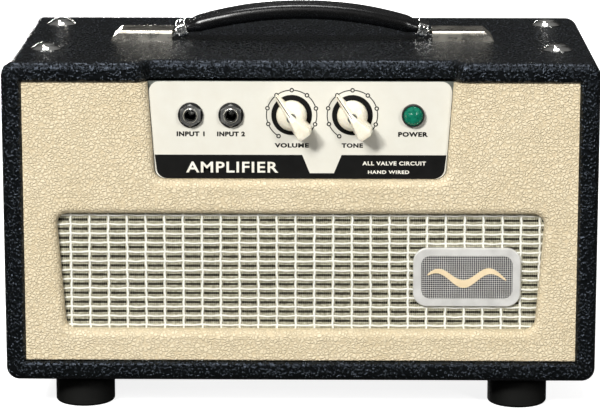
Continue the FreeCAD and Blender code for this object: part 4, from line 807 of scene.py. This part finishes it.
def jack_profile(proud, depth):
    """(radius, distance) round a threaded bushing: distance 0 at the wall's face, out to the tip."""
    profile = [(JACK_FLANGE_R, -depth - JACK_FLANGE_T), (JACK_FLANGE_R, -depth), (BUSHING_R, -depth)]
    turns = int((proud - 0.6) / THREAD_PITCH)
    start = proud - 0.5 - turns * THREAD_PITCH
    profile.append((BUSHING_R, start - 0.1))
    for k in range(turns):
        at = start + k * THREAD_PITCH
        profile += [(BUSHING_R - 0.38, at + 0.25 * THREAD_PITCH), (BUSHING_R, at + 0.65 * THREAD_PITCH),
                    (BUSHING_R, at + 0.85 * THREAD_PITCH)]
    profile += [(BUSHING_R - 0.05, proud - 0.45), (BUSHING_R - 0.45, proud), (JACK_BORE + 0.35, proud),
                (JACK_BORE, proud - 0.4), (JACK_BORE, -depth - JACK_FLANGE_T)]
    return profile


def jack_places():
    """(x, z, y of the wall's face, outwards, thickness clamped) of each jack."""
    places = []
    for name in ("input_jack_1", "input_jack_2", "speaker_jack_1", "speaker_jack_2"):
        x, y, z = (value / MM for value in MOUNTS[name]["pos_m"])
        front = y < 0
        face = PLATE_FRONT if front else CHASSIS_HIGH.y
        clamped = CHASSIS_SHEET + (PLATE_HIGH.y - PLATE_FRONT if front else 0)
        places.append((x, z, face, -1 if front else 1, clamped))
    return places


def build_bushings(material, dark):
    bm = bmesh.new()
    contacts = bmesh.new()
    for x, z, face, outwards, clamped in jack_places():
        at = (x, face, z)
        add_turned(bm, jack_profile(JACK_PROUD, clamped), at, outwards, sides=48, looped=True)
        add_turned(contacts, JACK_TIP, at, outwards, sides=20)
    piece("jack_bushings_threaded", mesh_from(bm), material, "cabinet", ("jack_bushings",))
    piece("jack_contacts", mesh_from(contacts), dark, "cabinet")


# ---------------------------------------------------------------- printing
PRINT_T = 0.09
DIAL_R = 15.8
DIAL_LINE = 0.60
DIAL_DOT = (1.42, 0.74)      # outside and inside radius of each open dot
DIAL_DOTS = 9
DIAL_START = 238.6
DIAL_STEP = -37.2
RING = (12.8, 9.3)           # thick ring round each knob
BAND_TOP = PLATE_LOW.z + 15.1
TAB_X = 13.5                 # middle of the light tab in the dark band
TAB_HALF_TOP = 12.4
TAB_HALF_BOTTOM = 7.6
TAB_DROP = 11.7
PLATE_CORNER = 6.5


def dial_print(at):
    """Outlines of one dial: a fine arc through open dots, and a thick ring."""
    outlines = [circle(at.x, at.z, RING[0], 96), circle(at.x, at.z, RING[1], 96)]
    clear = math.degrees(DIAL_DOT[0] / DIAL_R) * 1.05
    for k in range(DIAL_DOTS):
        angle = DIAL_START + DIAL_STEP * k
        a = math.radians(angle)
        x, z = at.x + DIAL_R * math.cos(a), at.z + DIAL_R * math.sin(a)
        outlines += [circle(x, z, DIAL_DOT[0], 28), circle(x, z, DIAL_DOT[1], 28)]
        if k < DIAL_DOTS - 1:
            link = (angle - clear, angle + DIAL_STEP + clear)
            outlines.append(arc_band(at.x, at.z, DIAL_R, DIAL_LINE, *link))
    return outlines


def band_outline():
    """Dark band along the foot of the plate, with its tab left open at the top."""
    inset = 0.05
    left, right = PLATE_LOW.x + inset, PLATE_HIGH.x - inset
    lean = 4.4 / 62.5            # the plate narrows towards its foot
    foot = PLATE_LOW.z + inset
    rise = BAND_TOP - foot
    full = PLATE_HIGH.z - PLATE_LOW.z
    top_in = lean * (full - rise)
    foot_in = lean * full
    r = PLATE_CORNER
    return ([(left + top_in, BAND_TOP)]
            + arc_points(left + foot_in + r, foot + r, r, 180, 270, 10)
            + arc_points(right - foot_in - r, foot + r, r, 270, 360, 10)
            + [(right - top_in, BAND_TOP), (TAB_X + TAB_HALF_TOP, BAND_TOP),
               (TAB_X + TAB_HALF_BOTTOM, BAND_TOP - TAB_DROP),
               (TAB_X - TAB_HALF_BOTTOM, BAND_TOP - TAB_DROP), (TAB_X - TAB_HALF_TOP, BAND_TOP)])


def build_front_print(ink, pale):
    front = Vector((0, PLATE_FRONT - PRINT_T, 0))
    jacks = [place for place in jack_places() if place[3] < 0]
    parts = [(outline_solid(dial_print(VOLUME_AT), PRINT_T), front, False),
             (outline_solid(dial_print(TONE_AT), PRINT_T), front, False),
             (outline_solid([band_outline()], PRINT_T), front, False)]
    near_row, low_row = VOLUME_AT.z - 12.2, VOLUME_AT.z - 19.4
    labels = [("INPUT 1", jacks[0][0], near_row, 3.1, 17.6), ("INPUT 2", jacks[1][0], near_row, 3.1, 17.6),
              ("VOLUME", VOLUME_AT.x, low_row, 2.9, 21.5), ("TONE", TONE_AT.x, low_row, 2.9, 13.4),
              ("POWER", LAMP_AT.x, near_row, 3.1, 18.7)]
    for words, x, z, height, width in labels:
        parts.append((words_solid(words, height, width, PRINT_T), front + Vector((x, 0, z)), False))
    piece("front_print_dark", collect(parts), ink, "cabinet")
    over = Vector((0, PLATE_FRONT - 2 * PRINT_T, PLATE_LOW.z))
    light = [("AMPLIFIER", -43.0, 7.2, 7.0, 58.0, 0.02), ("ALL VALVE CIRCUIT", 59.0, 9.8, 2.6, 40.0, 0.03),
             ("HAND WIRED", 55.5, 4.2, 2.2, 26.0, 0.03)]
    parts = [(words_solid(words, height, width, PRINT_T, heavy), over + Vector((x, 0, z)), False)
             for words, x, z, height, width, heavy in light]
    piece("front_print_light", collect(parts), pale, "cabinet")


def build_rear_print(pale):
    """Small labels over the rear fittings, and a line above the speaker jacks' labels."""
    wall = Vector((0, CHASSIS_HIGH.y + PRINT_T, MOUNTS["speaker_jack_1"]["pos_m"][2] / MM))
    fittings = [box_mm(node) for node in ("mains_inlet", "fuse_holder", "power_switch")]
    places = [(low.x + high.x) / 2 for low, high in fittings]
    jacks = [place for place in jack_places() if place[3] > 0]
    labels = [("MAINS", places[0], 17.5, 2.6, 13.0), ("FUSE", places[1], 14.5, 2.6, 9.6),
              ("POWER", places[2], 19.0, 2.6, 13.4), ("SPEAKER 1", jacks[0][0], 14.5, 2.6, 21.0),
              ("SPEAKER 2", jacks[1][0], 14.5, 2.6, 21.0)]
    parts = [(words_solid(words, height, width, PRINT_T), wall + Vector((x, 0, z)), True)
             for words, x, z, height, width in labels]
    middle = (jacks[0][0] + jacks[1][0]) / 2
    rule = outline_solid([[(-34, -0.25), (34, -0.25), (34, 0.25), (-34, 0.25)]], PRINT_T)
    parts.append((rule, wall + Vector((middle, 0, 20.5)), True))
    piece("rear_print", collect(parts), pale, "cabinet")


# ---------------------------------------------------------------- badge
BADGE_RIM = 5.0
BADGE_DISH = 0.9
BADGE_R = 9.0
MESH_STEP = 1.35
MESH_WIRE = 0.34
FIELD_T = 0.12


def build_badge(wire, dark, motif):
    """Dark field with a fine woven wire over it and a plain wave, in the badge's dish."""
    floor_y = BADGE_LOW.y + BADGE_DISH
    half_w = (BADGE_HIGH.x - BADGE_LOW.x) / 2 - BADGE_RIM - 0.1
    half_h = (BADGE_HIGH.z - BADGE_LOW.z) / 2 - BADGE_RIM - 0.1
    corner = BADGE_R - BADGE_RIM
    centre = (BADGE_LOW + BADGE_HIGH) / 2
    at = Vector((centre.x, floor_y, centre.z))
    plate = outline_solid([rounded_box_ring(half_w, half_h, corner)], FIELD_T)
    field = collect([(plate, at - Vector((0, FIELD_T, 0)), False)])
    piece("badge_field", field, dark, "cabinet")
    bm = bmesh.new()
    half_wire = MESH_WIRE / 2
    wire_section = ((-half_wire, 0), (0, -half_wire), (half_wire, 0), (0, half_wire))

    def reach(offset, across, along):
        """How far a wire may run before it meets the dish's rounded corner."""
        over = abs(offset) - (across - corner)
        if over <= 0:
            return along
        return along - corner + math.sqrt(max(0.0, corner ** 2 - over ** 2))

    def add_wires(across, along, place):
        count = int((across - 0.4) / MESH_STEP)
        for k in range(-count, count + 1):
            offset = k * MESH_STEP
            end = reach(offset, across, along) - 0.15
            steps = max(4, 2 * round(2 * end / MESH_STEP))
            rings = []
            for i in range(steps + 1):
                run = -end + 2 * end * i / steps
                lift = 0.09 * math.cos(math.pi * run / MESH_STEP + math.pi * (k % 2))
                rings.append([place(run, offset, a, b + lift) for a, b in wire_section])
            add_loft(bm, rings)

    base = at - Vector((0, 0.30, 0))
    add_wires(half_w, half_h, lambda run, offset, a, b: (base + Vector((offset + a, b, run))) * MM)
    add_wires(half_h, half_w, lambda run, offset, a, b: (base + Vector((run, -b, offset + a))) * MM)
    piece("badge_mesh", mesh_from(bm), wire, "cabinet")
    upper, lower = [], []
    steps = 48
    reach_x = half_w - 4.0
    for k in range(steps + 1):
        t = k / steps
        x = -reach_x + 2 * reach_x * t
        z = 4.2 * math.sin(2 * math.pi * t * 1.5 + 0.4)
        thick = 0.5 + 2.0 * math.sin(math.pi * t) ** 0.8
        upper.append((x, z + thick))
        lower.append((x, z - thick))
    wave = outline_solid([upper + lower[::-1]], 0.7)
    mesh = collect([(wave, at - Vector((0, 1.15, 0)), False)])
    piece("badge_wave", mesh, motif, "cabinet")


# ---------------------------------------------------------------- finishing the CAD nodes
LOOKS = {"jack_washers": "black_plastic", "jack_nuts": "bright_nickel", "handle_cap_left": "satin_chrome",
         "handle_cap_right": "satin_chrome"}


def finish_nodes():
    """Gives every carried-over CAD node its material, and the pressed or cut ones a small edge round."""
    made = {
        "black_vinyl": black_vinyl(),
        "cream_vinyl": cream_vinyl(),
        "plywood": wood("birch_plywood", (176, 138, 92), (214, 182, 136)),
        "badge_metal": moulded("satin_plate", (214, 213, 209), (230, 229, 225), 0.36, 0.48, bumps=0.9,
                               depth=0.02, Metallic=0.25),
        "rubber": moulded("foot_rubber", (4, 5, 3), (11, 11, 9), 0.62, 0.85, bumps=1.8, depth=0.05,
                          Specular_IOR_Level=0.25),
        "chassis_steel": metal("plated_sheet", (150, 156, 150), 0.38, 0.55, grain=(0.2, 1, 1), depth=0.03),
        "white_enamel": moulded("white_enamel", (223, 220, 208), (226, 224, 213), 0.3, 0.42, bumps=0.9,
                                depth=0.01),
        "nickel": metal("nickel_plate", (236, 235, 230), 0.08, 0.18),
        "chrome": metal("chrome_plate", (240, 236, 226), 0.05, 0.12, grain=(0.2, 1.5, 1.5)),
        "black_plastic": moulded("phenolic", (8, 8, 8), (20, 19, 18), 0.30, 0.5),
        "bright_nickel": metal("bright_nickel", (250, 250, 246), 0.20, 0.32),
        "satin_chrome": metal("satin_chrome", (244, 238, 224), 0.22, 0.34, grain=(0.2, 1.5, 1.5)),
        "steel": metal("zinc_plate", (168, 168, 166), 0.30, 0.5),
        "clear_glass": valve_glass(),
        "black_board": moulded("back_board", (10, 11, 11), (24, 25, 24), 0.55, 0.75, bumps=0.8,
                               depth=0.12),
        "iron_core": moulded("laminations", (52, 52, 54), (84, 82, 80), 0.4, 0.6, Metallic=0.7),
        "coil_paper": moulded("coil_paper", (150, 104, 48), (188, 140, 76), 0.45, 0.65),
        "black_cover": moulded("black_enamel", (14, 14, 15), (28, 28, 29), 0.28, 0.42),
        "board_green": moulded("circuit_board", (34, 86, 44), (58, 118, 66), 0.35, 0.5),
        "cap_orange": moulded("dipped_orange", (190, 96, 30), (214, 124, 48), 0.2, 0.35),
        "fuse_glass": valve_glass(),
    }
    rounds = {"handle_cap_left": 0.7, "handle_cap_right": 0.7, "handle_tongue_left": 0.35,
              "handle_tongue_right": 0.35, "control_panel": 0.25, "badge_plate": 0.4, "jack_nuts": 0.3,
              "pot_nuts": 0.2}
    for name, node in frame["nodes"].items():
        slot = node.material_slots[0].material.name.split(".")[0]
        material = made.get(LOOKS.get(name, slot))
        if material:
            for place in node.material_slots:
                place.material = material
        if name in rounds:
            edge = node.modifiers.new("edge", "BEVEL")
            edge.width = rounds[name] * MM
            edge.segments = 3
            edge.limit_method = "ANGLE"
            edge.angle_limit = math.radians(40)
            edge.harden_normals = True
    return made


# ---------------------------------------------------------------- studio
# brightness of the dome by height, from 0 straight below over 0.5 at the horizon to 1 overhead
DOME = ((0.0, 0.05), (0.48, 0.06), (0.54, 0.03), (0.66, 0.02), (0.74, 0.14), (1.0, 0.25))
FLOOR_RADIUS = 9.0


def build_floor():
    bm = bmesh.new()
    bm.faces.new([bm.verts.new((x, y, 0)) for x, y in circle(0, 0, FLOOR_RADIUS, 96)])
    mesh = bpy.data.meshes.new("floor")
    bm.to_mesh(mesh)
    bm.free()
    mesh.materials.append(floor_paper())
    made = bpy.data.objects.new("floor", mesh)
    made.visible_diffuse = False
    made.visible_glossy = False
    bpy.context.scene.collection.objects.link(made)


def build_world():
    """Soft dome: dim below and around, brighter overhead."""
    world = bpy.data.worlds.new("studio")
    world.use_nodes = True
    tree = world.node_tree
    tree.nodes.clear()
    place = tree.nodes.new("ShaderNodeTexCoord")
    parts = tree.nodes.new("ShaderNodeSeparateXYZ")
    height = tree.nodes.new("ShaderNodeMapRange")
    height.inputs["From Min"].default_value = -1.0
    ramp = tree.nodes.new("ShaderNodeValToRGB")
    light = tree.nodes.new("ShaderNodeBackground")
    output = tree.nodes.new("ShaderNodeOutputWorld")
    stops = ramp.color_ramp.elements
    stops[0].position, stops[1].position = DOME[0][0], DOME[1][0]
    for stop, (position, grey) in zip(stops, DOME):
        stop.color = (grey, grey, grey, 1)
    for position, grey in DOME[2:]:
        stops.new(position).color = (grey, grey, grey, 1)
    tree.links.new(place.outputs["Generated"], parts.inputs[0])
    tree.links.new(parts.outputs[2], height.inputs["Value"])
    tree.links.new(height.outputs[0], ramp.inputs[0])
    tree.links.new(ramp.outputs[0], light.inputs["Color"])
    tree.links.new(light.outputs[0], output.inputs["Surface"])
    bpy.context.scene.world = world


def add_area(name, place, target, size, power, colour=(1, 1, 1)):
    light = bpy.data.lights.new(name, "AREA")
    light.shape = "RECTANGLE"
    light.size, light.size_y = size
    light.energy = power
    light.color = colour
    made = bpy.data.objects.new(name, light)
    made.location = place
    made.rotation_euler = (Vector(target) - Vector(place)).to_track_quat("-Z", "Y").to_euler()
    bpy.context.scene.collection.objects.link(made)


def add_sun(name, direction, strength, angle, colour=(1, 1, 1)):
    light = bpy.data.lights.new(name, "SUN")
    light.energy = strength
    light.color = colour
    light.angle = math.radians(angle)
    made = bpy.data.objects.new(name, light)
    made.rotation_euler = Vector(direction).to_track_quat("-Z", "Y").to_euler()
    bpy.context.scene.collection.objects.link(made)


def build_lights():
    add_sun("overhead", (0.05, -0.12, -1.0), 1.35, 18)
    add_sun("front", (0.40, 1.0, -0.80), 1.50, 14, (1.0, 0.985, 0.96))
    add_area("back_low", (-0.7, 2.2, 0.12), (0, 0, 0.12), (1.6, 0.2), 34, (1.0, 0.995, 0.98))
    add_area("softbox_left", (-1.3, -2.4, 1.6), (0, 0, 0.12), (0.45, 0.40), 64, (1.0, 0.995, 0.98))
    add_area("softbox_right", (1.7, -2.2, 1.0), (0, 0, 0.12), (0.35, 0.5), 26, (1.0, 0.995, 0.98))


CAMERA_AT = (0.0245, -1.900, 0.5220)
CAMERA_AIM = (-0.01370, 1.0, -0.21372)
CAMERA_LENS = 175.7


def build_camera():
    lens = bpy.data.cameras.new("camera")
    lens.lens = CAMERA_LENS
    lens.sensor_width = 36.0
    lens.clip_end = 60.0
    made = bpy.data.objects.new("camera", lens)
    made.location = CAMERA_AT
    made.rotation_euler = Vector(CAMERA_AIM).to_track_quat("-Z", "Y").to_euler()
    bpy.context.scene.collection.objects.link(made)
    bpy.context.scene.camera = made
    bpy.context.scene.view_settings.view_transform = "Standard"


def main():
    build_camera()
    build_world()
    build_lights()
    build_floor()
    made = finish_nodes()
    ink = moulded("black_ink", (4, 4, 3), (9, 9, 8), 0.5, 0.65, bumps=0.9, depth=0.01,
                  Specular_IOR_Level=0.2)
    pale = moulded("pale_ink", (226, 222, 208), (244, 241, 230), 0.4, 0.55, bumps=0.9, depth=0.01)
    cream = moulded("cream_plastic", (238, 230, 208), (250, 244, 226), 0.22, 0.34, bumps=0.5, depth=0.015,
                    Subsurface_Weight=0.15, Subsurface_Radius=(0.002, 0.0014, 0.0009))
    field = moulded("badge_dark", (18, 18, 24), (36, 36, 46), 0.4, 0.6, bumps=1.0, depth=0.03)
    motif = moulded("badge_cream", (228, 206, 166), (240, 220, 184), 0.32, 0.45, bumps=0.7, depth=0.02)
    build_cloth(grille_ground(), white_cord())
    end_angle, end_z, middle_y = build_strap(strap_vinyl())
    build_ferrule_beads(made["nickel"], end_angle, end_z, middle_y)
    build_knob("volume_knob", VOLUME_AT, "volume_control", cream, ink)
    build_knob("tone_knob", TONE_AT, "tone_control", cream, ink)
    build_jewel(jewel_green())
    build_bushings(made["nickel"], made["steel"])
    build_front_print(ink, pale)
    build_rear_print(pale)
    build_badge(made["badge_metal"], field, motif)


main()
